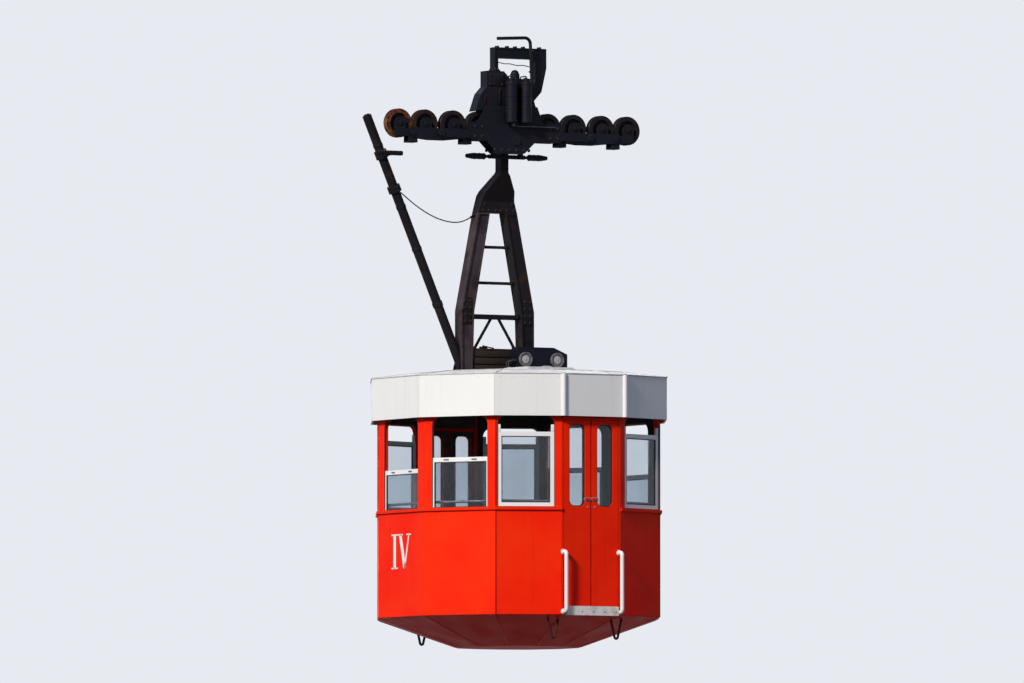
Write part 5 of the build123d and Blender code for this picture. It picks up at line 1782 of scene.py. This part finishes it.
@dataclass
class RoofDeck:
    """Planks, gussets, bolts, box fittings, pole fittings and conduit over the roof."""

    plank_reach: float = 0.258
    plank_gap: float = 0.004
    gusset_rooms: Span = (0.040, 0.075)  # reach of the left and the right gussets
    gusset_tall: float = 0.16
    gusset_x: float = 0.405
    bolt_inset: float = 0.022
    cover_x: Span = (0.161, 0.514)
    cover_out: float = 0.0105  # their bosses, in from the near face
    screw_ring: float = 0.064
    conduit_y: Span = (0.065, 0.105)
    pole_foot: Three = (-0.451, 0.340, -2.007)
    pole_tip: Three = (-1.424, 0.340, 0.222)
    # share of the pole's length, radius and height of each band
    bands: tuple[Three, ...] = (
        (0.18, 0.051, 0.05), (0.42, 0.0485, 0.035), (0.60, 0.0485, 0.035), (0.865, 0.0485, 0.03))
    # height of the collar and of the shoe, and half of each one's depth
    clamps: tuple[Flat, ...] = ((-0.480, 0.064), (-0.150, 0.062))
    # x and Z of the bends of the conduit down the left leg
    leg_line: tuple[Flat, ...] = (
        (-0.160, -0.76), (-0.175, -0.86), (-0.323, -1.60), (-0.330, -1.66), (-0.340, -1.76), (-0.343, -2.19),
        (-0.343, -2.238))
    leg_line_y: float = 0.399

    def foot_beam(self) -> None:
        """Planks on the foot beam's faces, and a clamp with a bent hook on its top."""
        low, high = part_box("foot_beam")
        height = (high.z - low.z - 0.04) / 3
        planks = []
        for row in range(3):
            z = low.z + 0.016 + row * (height + self.plank_gap)
            for face in (low.y - 0.004, high.y - 0.016):
                planks.append(block((-self.plank_reach, face, z),
                                    (self.plank_reach, face + 0.020, z + height - self.plank_gap), 0.004))
        mount(join(planks), "beam_planks", Finish.BEAM, *ON_HANGER)
        hook = ((-0.17, 0.30, 0.004), (-0.13, 0.31, 0.026), (-0.07, 0.33, 0.012), (-0.02, 0.32, 0.006))
        clamp = [block((-0.16, 0.315, high.z), (-0.09, 0.365, high.z + 0.020), 0.004),
                 pipe([(x, y, high.z + z) for x, y, z in hook], 0.006),
                 settle(bolt(0.010, 0.014), facing((-0.125, 0.34, high.z + 0.018), UP))]
        mount(join(clamp), "beam_clamp", Finish.BEAM, *ON_HANGER)

    def base(self) -> None:
        """Gussets at the legs' feet and bolts round the base plate."""
        low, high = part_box("base_plate")
        gussets = []
        for x_sign, room in zip((-1, 1), self.gusset_rooms):
            outline = [(0.0, 0.0), (room, 0.0), (0.0, self.gusset_tall)]
            for y in (0.295, 0.385):
                foot = (x_sign * self.gusset_x, y + 0.005 * x_sign, high.z)
                gussets.append(settle(plate(outline, 0.010), facing(foot, (0, -x_sign, 0), (x_sign, 0, 0))))
        mount(join(gussets), "foot_gussets", Finish.HANGER, *ON_HANGER)
        places = []
        for x in steps(low.x + self.bolt_inset, high.x - self.bolt_inset, 0.15):
            for y in (low.y + self.bolt_inset * 0.8, high.y - self.bolt_inset):
                under_box = y < 0.2 and x > 0.05
                if not under_box:
                    places.append(facing((x, y, high.z), UP))
        mount(spread(bolt(0.010, 0.012), places), "base_bolts", Finish.BOLT, *ON_HANGER)

    def equipment_box(self) -> None:
        """Lip, trims and latch on the equipment box, and its conduits with their glands."""
        low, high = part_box("equipment_box")
        trim_z = high.z - 0.008
        trims = [
            block((low.x - 0.003, low.y - 0.003, low.z + 0.018),
                  (high.x + 0.003, low.y + 0.001, low.z + 0.026), 0.001),
            bar((low.x + 0.004, low.y, trim_z), (high.x - 0.155, low.y, trim_z), (0, -1, 0), 0.010, 0.003),
            block((low.x + 0.20, low.y - 0.008, high.z - 0.030),
                  (low.x + 0.235, low.y, high.z - 0.006), 0.002),
            block((low.x + 0.02, low.y - 0.006, low.z + 0.10), (low.x + 0.032, low.y, low.z + 0.16), 0.002),
        ]
        mount(join(trims), "box_trims", Finish.BOX, "cabin", "box_paint")
        self.covers()
        run = ((-0.015, 0.0, 0.12), (-0.05, 0.0, 0.12), (-0.07, 0.02, 0.10), (-0.07, 0.02, 0.02),
               (-0.07, 0.02, 0.001))
        conduits = []
        for y in self.conduit_y:
            gland = facing((low.x + 0.001, y, low.z + 0.12), (-1, 0, 0))
            conduits.append(settle(disc(0.016, 0.022, 6, 0.002), gland))
            conduits.append(pipe([(low.x + x, y + shift, low.z + z) for x, shift, z in run], 0.008))
        mount(join(conduits), "box_conduits", Finish.RUBBER, *ON_SHEATH)

    def covers(self) -> None:
        """Bosses and screws on the equipment box's two covers."""
        low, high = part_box("box_covers")
        middle_z = (low.z + high.z) / 2
        bosses, screws = [], []
        for x in self.cover_x:
            middle = sideways(x, low.y + self.cover_out, middle_z, -1)
            bosses.append(settle(disc(0.042, 0.007, 36, 0.003, 0.036), middle))
            bosses.append(settle(disc(0.010, 0.010, 20, 0.003), middle))
            for screw_x, screw_z in around((x, middle_z), self.screw_ring, 6, 30):
                screws.append(sideways(screw_x, low.y, screw_z, -1))
        mount(join(bosses), "cover_bosses", Finish.LENS, "cabin", "cover_metal")
        mount(spread(bolt(0.0035, 0.003), screws), "cover_screws", Finish.BOLT, "cabin", "cover_metal")

    def pole(self) -> None:
        """Bands and bolts on the contact pole, its collar and its shoe."""
        foot, run = Vector(self.pole_foot), Vector(self.pole_tip) - Vector(self.pole_foot)
        up = run.normalized()
        parts = []
        for share, radius, height in self.bands:
            parts.append(settle(disc(radius, height, 36, 0.003), facing(foot + run * share, up)))
        parts.append(settle(disc(0.030, 0.012, 30, 0.004), facing(foot + run - up * 0.001, up)))
        mount(join(parts), "pole_bands", Finish.HANGER, *ON_HANGER)
        places = []
        for height, reach in self.clamps:
            centre = foot + run * ((height - foot.z) / run.z)
            for shift in (-0.018, 0.018):
                for y_sign in (-1, 1):
                    spot = centre + up * shift + Vector((0, y_sign * (reach - 0.001), 0))
                    places.append(sideways(*spot, y_sign))
        mount(spread(bolt(0.008, 0.010), places), "pole_bolts", Finish.BOLT, *ON_HANGER)

    def leg_conduit(self) -> None:
        """The conduit down the left leg's far recess."""
        conduit = pipe([(x, self.leg_line_y, z) for x, z in self.leg_line], 0.007)
        mount(conduit, "leg_conduit", Finish.HANGER, *ON_HANGER)

    def build(self) -> None:
        """Builds and mounts the pieces."""
        self.foot_beam()
        self.base()
        self.equipment_box()
        self.pole()
        self.leg_conduit()


@dataclass
class SignalCable:
    """The free cable from the pole's collar to the clip on the left leg."""

    diameter: float = 0.012
    length: float = 0.8605

    def build(self) -> None:
        route = [
            (-1.046, 0.340, -0.512), (-0.968, 0.338, -0.572), (-0.886, 0.335, -0.630),
            (-0.800, 0.332, -0.683), (-0.708, 0.330, -0.729), (-0.610, 0.329, -0.764),
            (-0.510, 0.330, -0.784), (-0.418, 0.333, -0.786), (-0.338, 0.337, -0.768),
            (-0.268, 0.340, -0.732)]
        line = smooth_line(route, self.diameter / 2, 10, 4)
        cable = mount(line, "hanging_signal_cable", Finish.SHEATH, *ON_SHEATH)
        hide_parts("signal_cable")


# Carriage


@dataclass
class Carriage:
    """Axle nuts, pin caps, bolts and ledge on the carriage."""

    wheel_x: Row = (-1.273, -0.985, -0.672, -0.385, 0.385, 0.672, 0.985, 1.273)
    wheel_rust: Row = (0.85, 0.10, 0.04, 0.02, 0.01, 0.01, 0.01, 0.02)
    axle_z: float = 0.134
    axle_end: float = 0.060
    cheek_face: float = 0.080
    bogie_x: Row = (-1.129, -0.5285, 0.5285, 1.129)
    bogie_face: Span = (0.064, 0.052)  # Y of the pins' ends and of the faces
    rocker_x: float = 0.82875
    rocker_z: float = 0.050
    cap_thick: float = 0.007
    cap_ring: float = 0.022
    cheek_end_x: Row = (-0.46, -0.38, 0.46, 0.38)
    cheek_low_x: Row = (-0.24, -0.16, -0.08, 0.0, 0.08, 0.14)
    ledge_front: float = -0.102
    ledge_top: float = 0.139

    def wheel_steel(self, number: int) -> WheelSteel:
        """Finish of one wheel, counted from the left."""
        centre = (self.wheel_x[number - 1], 0.0, self.axle_z)
        return WheelSteel(f"wheel_steel_{number}", centre, self.wheel_rust[number - 1])

    def axle_nuts(self) -> None:
        """The wheels' finishes, and nuts on the ends of the axles, each turning with its wheel."""
        for number, x in enumerate(self.wheel_x, start=1):
            steel = self.wheel_steel(number)
            dress((f"wheel_{number}",), steel)
            height = 0.0025 if abs(x) < 0.5 else 0.0045
            nuts = []
            for y_sign in (-1, 1):
                place = sideways(x, y_sign * (self.axle_end - 0.0005), self.axle_z, y_sign)
                nuts.append(settle(disc(0.021, height, 6, 0.0006), place))
            mount(join(nuts), f"axle_nuts_{number}", steel, f"wheel_{number}", "wheel_steel")

    def pins(self) -> None:
        """Caps and bolts on the pins of the bogies and rocker beams, and the bolts of the cheeks."""
        caps, small, large = [], [], []
        pin_end, bogie_face = self.bogie_face
        for x in self.bogie_x:
            for y_sign in (-1, 1):
                if abs(x) > 1.0:
                    place = sideways(x, y_sign * pin_end, 0.046, y_sign)
                    caps.append(settle(disc(0.030, 0.006, 32, 0.002), place))
                for shift in (-0.030, 0.030):
                    small.append(sideways(x + shift, y_sign * bogie_face, -0.032, y_sign))
        for x in (-self.rocker_x, self.rocker_x):
            for y_sign in (-1, 1):
                foot = sideways(x, y_sign * self.cheek_face, self.rocker_z, y_sign)
                caps.append(settle(disc(0.036, self.cap_thick, 36, 0.002), foot))
                for bolt_x, bolt_z in around((x, self.rocker_z), self.cap_ring, 3, 90):
                    face = y_sign * (self.cheek_face + self.cap_thick)
                    small.append(sideways(bolt_x, face, bolt_z, y_sign))
        spots = [(x, z) for x in self.cheek_end_x for z in (0.03, 0.125)]
        spots += [(x, -0.095) for x in self.cheek_low_x]
        for y_sign in (-1, 1):
            large += [sideways(x, y_sign * self.cheek_face, z, y_sign) for x, z in spots]
        mount(join(caps), "pin_caps", Finish.CARRIAGE, *ON_CARRIAGE)
        mount(spread(bolt(0.011, 0.010), large), "cheek_bolts", Finish.BOLT, *ON_CARRIAGE)
        mount(spread(bolt(0.0055, 0.006), small), "pin_bolts", Finish.BOLT, *ON_CARRIAGE)

    def ledge(self) -> None:
        """Rubbed steel along the ledge and the catch at its left end."""
        front, top = self.ledge_front, self.ledge_top
        parts = [block((-0.050, front - 0.001, top - 0.004), (0.425, front + 0.010, top + 0.002), 0.0008),
                 block((-0.062, front - 0.008, top), (-0.030, front + 0.018, top + 0.034), 0.003),
                 settle(disc(0.010, 0.016, 6, 0.001), sideways(-0.046, front - 0.008, top + 0.016, -1))]
        mount(join(parts), "ledge_strip", Finish.RUBBED, *ON_CARRIAGE)

    def build(self) -> None:
        """Builds and mounts the pieces."""
        self.axle_nuts()
        self.pins()
        self.ledge()


@dataclass
class BrakeGear:
    """Plates, ribs, bolts, bands and pipes on the brake housing and its cylinders."""

    face: float = 0.064
    tower: Four = (-0.300, 0.525, -0.135, 0.645)  # the cover plate's left, foot, right and head
    plate_thick: float = 0.006
    tower_bolts: tuple[Span, Span] = ((-0.285, -0.150), (0.540, 0.630))  # X and Z
    # x, foot and head of each rib
    ribs: tuple[Three, ...] = ((-0.345, 0.345, 0.430), (-0.180, 0.345, 0.500), (0.190, 0.345, 0.400))
    rib: Flat = (0.012, 0.014)
    straps: Span = (-0.17, -0.03)
    deck: float = 0.60
    cylinder_x: Span = (-0.085, 0.078)
    cylinder_in: float = 0.055
    band_z: Row = (0.180, 0.300, 0.420, 0.535)
    nut_ring: float = 0.047
    nut_z: float = 0.560

    def housing(self) -> None:
        """Cover plates, ribs, straps and bolts on the brake housing."""
        left, foot, right, head = self.tower
        tower = [(left, foot), (right, foot), (right, head), (left, head)]
        turned = [(-x, z) for x, z in reversed(tower)]
        across, up = self.tower_bolts
        parts, bolts = [], []
        for y_sign, outline in ((-1, tower), (1, turned)):
            face = y_sign * self.face
            place = facing((0, face, 0), (0, y_sign, 0), (-y_sign, 0, 0))
            parts.append(settle(plate(outline, self.plate_thick), place))
            bolt_face = face + y_sign * self.plate_thick
            bolts += [sideways(x, bolt_face, z, y_sign) for x in across for z in up]
            for x, low, high in self.ribs:
                parts.append(bar((x, face, low), (x, face, high), (0, y_sign, 0), *self.rib, 0.002))
        for x in self.straps:
            parts.append(block((x - 0.02, self.face, 0.36), (x + 0.02, 0.080, 0.58), 0.004))
        parts.append(block((-0.317, -self.face, 0.660), (-0.120, self.face, 0.668), 0.003))
        mount(join(parts), "housing_plates", Finish.CARRIAGE, *ON_CARRIAGE)
        bolts += [facing((x, y, self.deck), UP) for x in (-0.02, 0.11) for y in (-0.045, 0.045)]
        mount(spread(bolt(0.009, 0.009), bolts), "housing_bolts", Finish.BOLT, *ON_CARRIAGE)

    def cylinders(self) -> None:
        """Bands, head nuts and pipes on the brake cylinders."""
        low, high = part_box("brake_cylinders")
        axis_y = low.y + self.cylinder_in
        parts, nuts = [], []
        for x in self.cylinder_x:
            for z in self.band_z:
                parts.append(settle(disc(0.058, 0.012, 40, 0.002), facing((x, axis_y, z), UP)))
            parts.append(settle(disc(0.014, 0.014, 6, 0.002), facing((x, axis_y, high.z - 0.001), UP)))
            nuts += [facing((*spot, self.nut_z), UP) for spot in around((x, axis_y), self.nut_ring, 6)]
        mount(join(parts), "cylinder_bands", Finish.CARRIAGE, *ON_CARRIAGE)
        mount(spread(bolt(0.006, 0.008), nuts), "cylinder_nuts", Finish.BOLT, *ON_CARRIAGE)
        run = ((1.0, axis_y, 0.008), (1.0, axis_y, 0.022), (1.0, axis_y + 0.012, 0.026),
               (0.9, -0.060, 0.024), (0.85, -0.045, 0.020), (0.85, -0.045, 0.598 - high.z))
        lines = [pipe([(x * share, y, high.z + z) for share, y, z in run], 0.006) for x in self.cylinder_x]
        mount(join(lines), "brake_lines", Finish.CARRIAGE, *ON_CARRIAGE)

    def build(self) -> None:
        """Builds and mounts the pieces."""
        self.housing()
        self.cylinders()


@dataclass
class LiftingGear:
    """Flanges, nuts and bent line on the lifting frame, and clamps on the guard pipe."""

    flange_thick: float = 0.006
    gap: Span = (0.044, 0.118)  # in from the left and the right side
    feet: Span = (0.705, 0.675)  # heights at the right and left side
    foot_plate: Span = (0.6685, 0.680)  # heights of its foot and top
    nut_x: Row = (-0.17, -0.06, 0.03, 0.12, 0.30)
    clamps: tuple[Flat, ...] = ((0.170, 0.86), (0.172, 0.66))
    guard_y: float = -0.088
    # the bent line's bends, right of the opening's left side, with Y and Z
    line: tuple[Three, ...] = (
        (-0.004, -0.01, 0.760), (0.03, -0.01, 0.757), (0.08, -0.012, 0.742), (0.15, -0.008, 0.748),
        (0.22, -0.012, 0.730), (0.30, -0.010, 0.738), (0.36, -0.008, 0.722))

    def flanges(self) -> None:
        """Flanges round the frame's two faces, and its foot plate with the nuts on both."""
        low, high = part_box("lifting_frame")
        gap_left, gap_right = low.x + self.gap[0], high.x - self.gap[1]
        right_foot, left_foot = self.feet
        plate_foot, plate_top = self.foot_plate
        # start x, start z, end x, end z, width
        runs = (
            (low.x, high.z - 0.008, high.x, high.z - 0.008, 0.016),
            (gap_left, high.z - 0.098, gap_right, high.z - 0.098, 0.012),
            (high.x - 0.008, high.z - 0.01, high.x - 0.008, right_foot, 0.016),
            (low.x + 0.008, high.z - 0.01, low.x + 0.008, left_foot, 0.014),
        )
        parts = []
        for y, y_sign in ((low.y, -1), (high.y, 1)):
            for start_x, start_z, end_x, end_z, width in runs:
                start, end = (start_x, y, start_z), (end_x, y, end_z)
                parts.append(bar(start, end, (0, y_sign, 0), width, self.flange_thick))
        parts.append(block((low.x - 0.012, low.y - 0.014, plate_foot),
                           (low.x + 0.060, high.y + 0.014, plate_top), 0.002))
        mount(join(parts), "lifting_flanges", Finish.CARRIAGE, *ON_CARRIAGE)
        places = [facing((x, y, high.z), UP) for x in self.nut_x for y in (-0.02, 0.02)]
        places += [facing((x, y, plate_top), UP) for x in (low.x + 0.006, low.x + 0.036)
                   for y in (low.y - 0.004, high.y + 0.004)]
        mount(spread(bolt(0.011, 0.016), places), "lifting_nuts", Finish.BOLT, *ON_CARRIAGE)

    def bent_line(self) -> None:
        """The bent line through the frame's opening."""
        low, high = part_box("lifting_frame")
        points = [(low.x + self.gap[0] + x, y, z) for x, y, z in self.line]
        points.append((high.x - self.gap[1] + 0.004, -0.008, 0.716))
        mount(pipe(points, 0.0045), "bent_brake_line", Finish.CARRIAGE, *ON_CARRIAGE)

    def guard_clamps(self) -> None:
        """Clamps that hold the guard pipe to the housing."""
        parts = []
        for x, z in self.clamps:
            parts.append(settle(disc(0.020, 0.024, 28, 0.003), facing((x, self.guard_y, z), UP)))
            parts.append(block((x - 0.010, self.guard_y, z + 0.002), (x + 0.010, -0.040, z + 0.022), 0.003))
        mount(join(parts), "guard_clamps", Finish.CARRIAGE, *ON_CARRIAGE)

    def build(self) -> None:
        """Builds and mounts the pieces."""
        self.flanges()
        self.bent_line()
        self.guard_clamps()


@dataclass
class HaulGear:
    """Bands on the haul rope's sockets and bolts on the anchor's brackets."""

    haul_line: Flat = (0.110, -0.150)  # Y and Z
    band_x: Row = (0.250, 0.300, 0.350)
    anchor_y: float = 0.125
    anchor_bolts: tuple[Row, ...] = ((-0.150, 0.150), (-0.130, -0.03, 0.015))

    def build(self) -> None:
        """Builds and mounts the pieces."""
        bands = []
        for x_sign in (-1, 1):
            for reach in self.band_x:
                place = facing((x_sign * reach, *self.haul_line), (x_sign, 0, 0))
                bands.append(settle(disc(0.0325, 0.008, 32, 0.002), place))
        mount(join(bands), "socket_bands", Finish.CARRIAGE, *ON_CARRIAGE)
        across, up = self.anchor_bolts
        places = [sideways(x, self.anchor_y, z, 1) for x in across for z in up]
        mount(spread(bolt(0.008, 0.009), places), "anchor_bolts", Finish.BOLT, *ON_CARRIAGE)


# Studio


@dataclass(frozen=True)
class Lamp:
    """A broad, far lamp."""

    name: str
    towards: Three  # where it shines from
    strength: float
    colour: Colour
    breadth: float  # how broad it looks, in degrees

    def hang(self) -> None:
        """Adds the lamp to the scene."""
        bpy.ops.object.light_add(type="SUN", location=Vector(self.towards) * 20.0)
        lamp = bpy.context.object
        lamp.name = self.name
        lamp.rotation_euler = Vector(self.towards).to_track_quat("Z", "Y").to_euler()
        lamp.data.energy = self.strength
        lamp.data.color = self.colour
        lamp.data.angle = math.radians(self.breadth)
        lamp.visible_transmission = False


@dataclass
class Studio:
    """Camera, lamps, world and floor."""

    azimuth: float = -30.0  # in degrees
    elevation: float = -2.82
    distance: float = 160.0
    view_height: float = 6.6
    picture: Flat = (1024.0, 683.0)
    sensor: float = 36.0
    aim: Three = (-0.03, -0.05, -1.945)
    sky: Colour = (0.80, 0.83, 0.88)
    lamps: tuple[Lamp, ...] = (
        Lamp("key_lamp", (-0.769, -0.358, 0.530), 3.5, (1.0, 0.955, 0.875), 9.0),
        Lamp("fill_lamp", (0.52, 0.80, 0.30), 1.1, (0.92, 0.96, 1.0), 40.0))
    ambient: float = 0.34
    ambient_tint: Colour = (0.75, 0.87, 1.22)
    gloss_share: float = 0.35
    floor_size: float = 6000.0
    floor_drop: float = 0.02
    floor_tones: tuple[Colour, Colour] = ((0.816, 0.840, 0.851), (0.839, 0.863, 0.875))
    floor_bounce: Colour = (0.080, 0.075, 0.078)  # what it gives back to the object

    def camera(self) -> float:
        """Stands the camera at the photograph's angle.

        Returns:
            The camera's height, which is just above the floor's.
        """
        turn, rise = math.radians(self.azimuth), math.radians(self.elevation)
        back = Vector((math.sin(turn) * math.cos(rise), -math.cos(turn) * math.cos(rise), math.sin(rise)))
        place = Vector(self.aim) + back * self.distance
        width, height = self.picture
        bpy.ops.object.camera_add(location=place, rotation=(-back).to_track_quat("-Z", "Y").to_euler())
        camera = bpy.context.object
        camera.name = "camera"
        camera.data.sensor_width = self.sensor
        camera.data.lens = self.sensor * self.distance / (self.view_height * width / height)
        camera.data.clip_start = 1.0
        camera.data.clip_end = 4000.0
        bpy.context.scene.camera = camera
        return place.z

    def seen(self, bench: NodeBench) -> NodeSocket:
        """Share that is 1 for camera and glass rays and a part for gloss.

        Args:
            bench: The tree's bench.

        Returns:
            The share.
        """
        path = bench.add("LightPath")
        gloss = bench.maths("MULTIPLY", path.outputs["Is Glossy Ray"], self.gloss_share)
        clear = bench.maths("MAXIMUM", path.outputs["Is Camera Ray"], path.outputs["Is Transmission Ray"])
        return bench.maths("MAXIMUM", clear, gloss)

    def world(self) -> None:
        """Pale backdrop for camera, gloss and glass, and soft bluish light for the rest."""
        world = bpy.data.worlds.new("studio")
        bpy.context.scene.world = world
        world.use_nodes = True
        bench = NodeBench(world.node_tree)
        soft = bench.add("Background")
        bench.feed(soft.inputs["Color"], self.ambient_tint)
        bench.feed(soft.inputs["Strength"], self.ambient)
        pale = bench.add("Background")
        bench.feed(pale.inputs["Color"], self.sky)
        output = bench.add("OutputWorld")
        bench.join(bench.layer(self.seen(bench), soft.outputs[0], pale.outputs[0]), output.inputs[0])

    def floor(self, height: float) -> None:
        """Wide pale floor that keeps the shadow, and gives little light back.

        Args:
            height: Height of the floor.
        """
        bpy.ops.mesh.primitive_plane_add(size=self.floor_size, location=(0.0, 0.0, height))
        floor = bpy.context.object
        floor.name = "floor_stage"
        bench = ShaderBench("floor_stage")
        pale = bench.blend(bench.noise(0.7, 3.0), *self.floor_tones)
        shaded, glow = bench.add("BsdfDiffuse"), bench.add("Emission")
        bench.join(pale, shaded.inputs["Color"])
        bench.join(pale, glow.inputs["Color"])
        lit = bench.layer(0.5, shaded.outputs[0], glow.outputs[0])
        dark = bench.add("BsdfDiffuse")
        bench.feed(dark.inputs["Color"], self.floor_bounce)
        bench.join(bench.layer(self.seen(bench), dark.outputs[0], lit), bench.output.inputs["Surface"])
        bench.tree.nodes.remove(bench.shader)
        floor.data.materials.append(bench.material)

    def build(self) -> None:
        """Sets up the whole studio."""
        height = self.camera()
        for lamp in self.lamps:
            lamp.hang()
        self.world()
        self.floor(height - self.floor_drop)
        bpy.context.scene.view_settings.view_transform = "Standard"


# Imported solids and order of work


# a leaf's name, the side of the doorway that it is on, and the way out of the doorway
DOORS = [(f"{near}_{left}_door", x_sign, y_sign)
         for near, y_sign in (("near", -1), ("far", 1)) for left, x_sign in (("left", -1), ("right", 1))]
SOLIDS = {
    Finish.RED: ("end_walls", "shoulder_walls", "quarter_walls", "door_frames", "underside", "waist_bead",
                 *(name + "_leaf" for name, _, _ in DOORS)),
    Finish.WHITE: ("fascia_panels", "corner_strips", "grab_bars"),
    Finish.SASH: ("window_sashes",),
    Finish.ROOF: ("roof", "roof_hatch"),
    Finish.GLASS: ("window_panes", *(name + "_pane" for name, _, _ in DOORS)),
    Finish.THRESHOLD: ("thresholds",),
    Finish.FLOOR: ("floor",),
    Finish.FEET: ("v_feet",),
    Finish.LEGS: ("hanger_legs",),
    Finish.HANGER: ("hanger_head", "hanger_rungs", "foot_braces", "base_plate", "contact_pole",
                    "contact_shoe", "cable_clips"),
    Finish.BEAM: ("foot_beam",),
    Finish.BOX: ("equipment_box",),
    Finish.COVER: ("box_covers",),
    Finish.CARRIAGE: ("carriage_frame", "rocker_beams", "bogies", "bogie_pins", "rope_keepers",
                      "brake_housing", "brake_jaws", "brake_cylinders", "lifting_frame", "guard_pipe",
                      "haul_anchor", "haul_sockets", "hanger_pin"),
}


def main() -> None:
    """Builds the studio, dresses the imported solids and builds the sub-assemblies in order."""
    Studio().build()
    for finish, names in SOLIDS.items():
        dress(names, finish)
    SignalCable().build()
    doors = [DoorFittings(*door) for door in DOORS]
    cabin = (CabinShell(), *doors, CabinInside(), Hanger(), RoofDeck())
    carriage = (Carriage(), BrakeGear(), LiftingGear(), HaulGear())
    for assembly in (*cabin, *carriage):
        LOG.info("building %s", type(assembly).__name__)
        assembly.build()


if __name__ == "__main__":
    main()
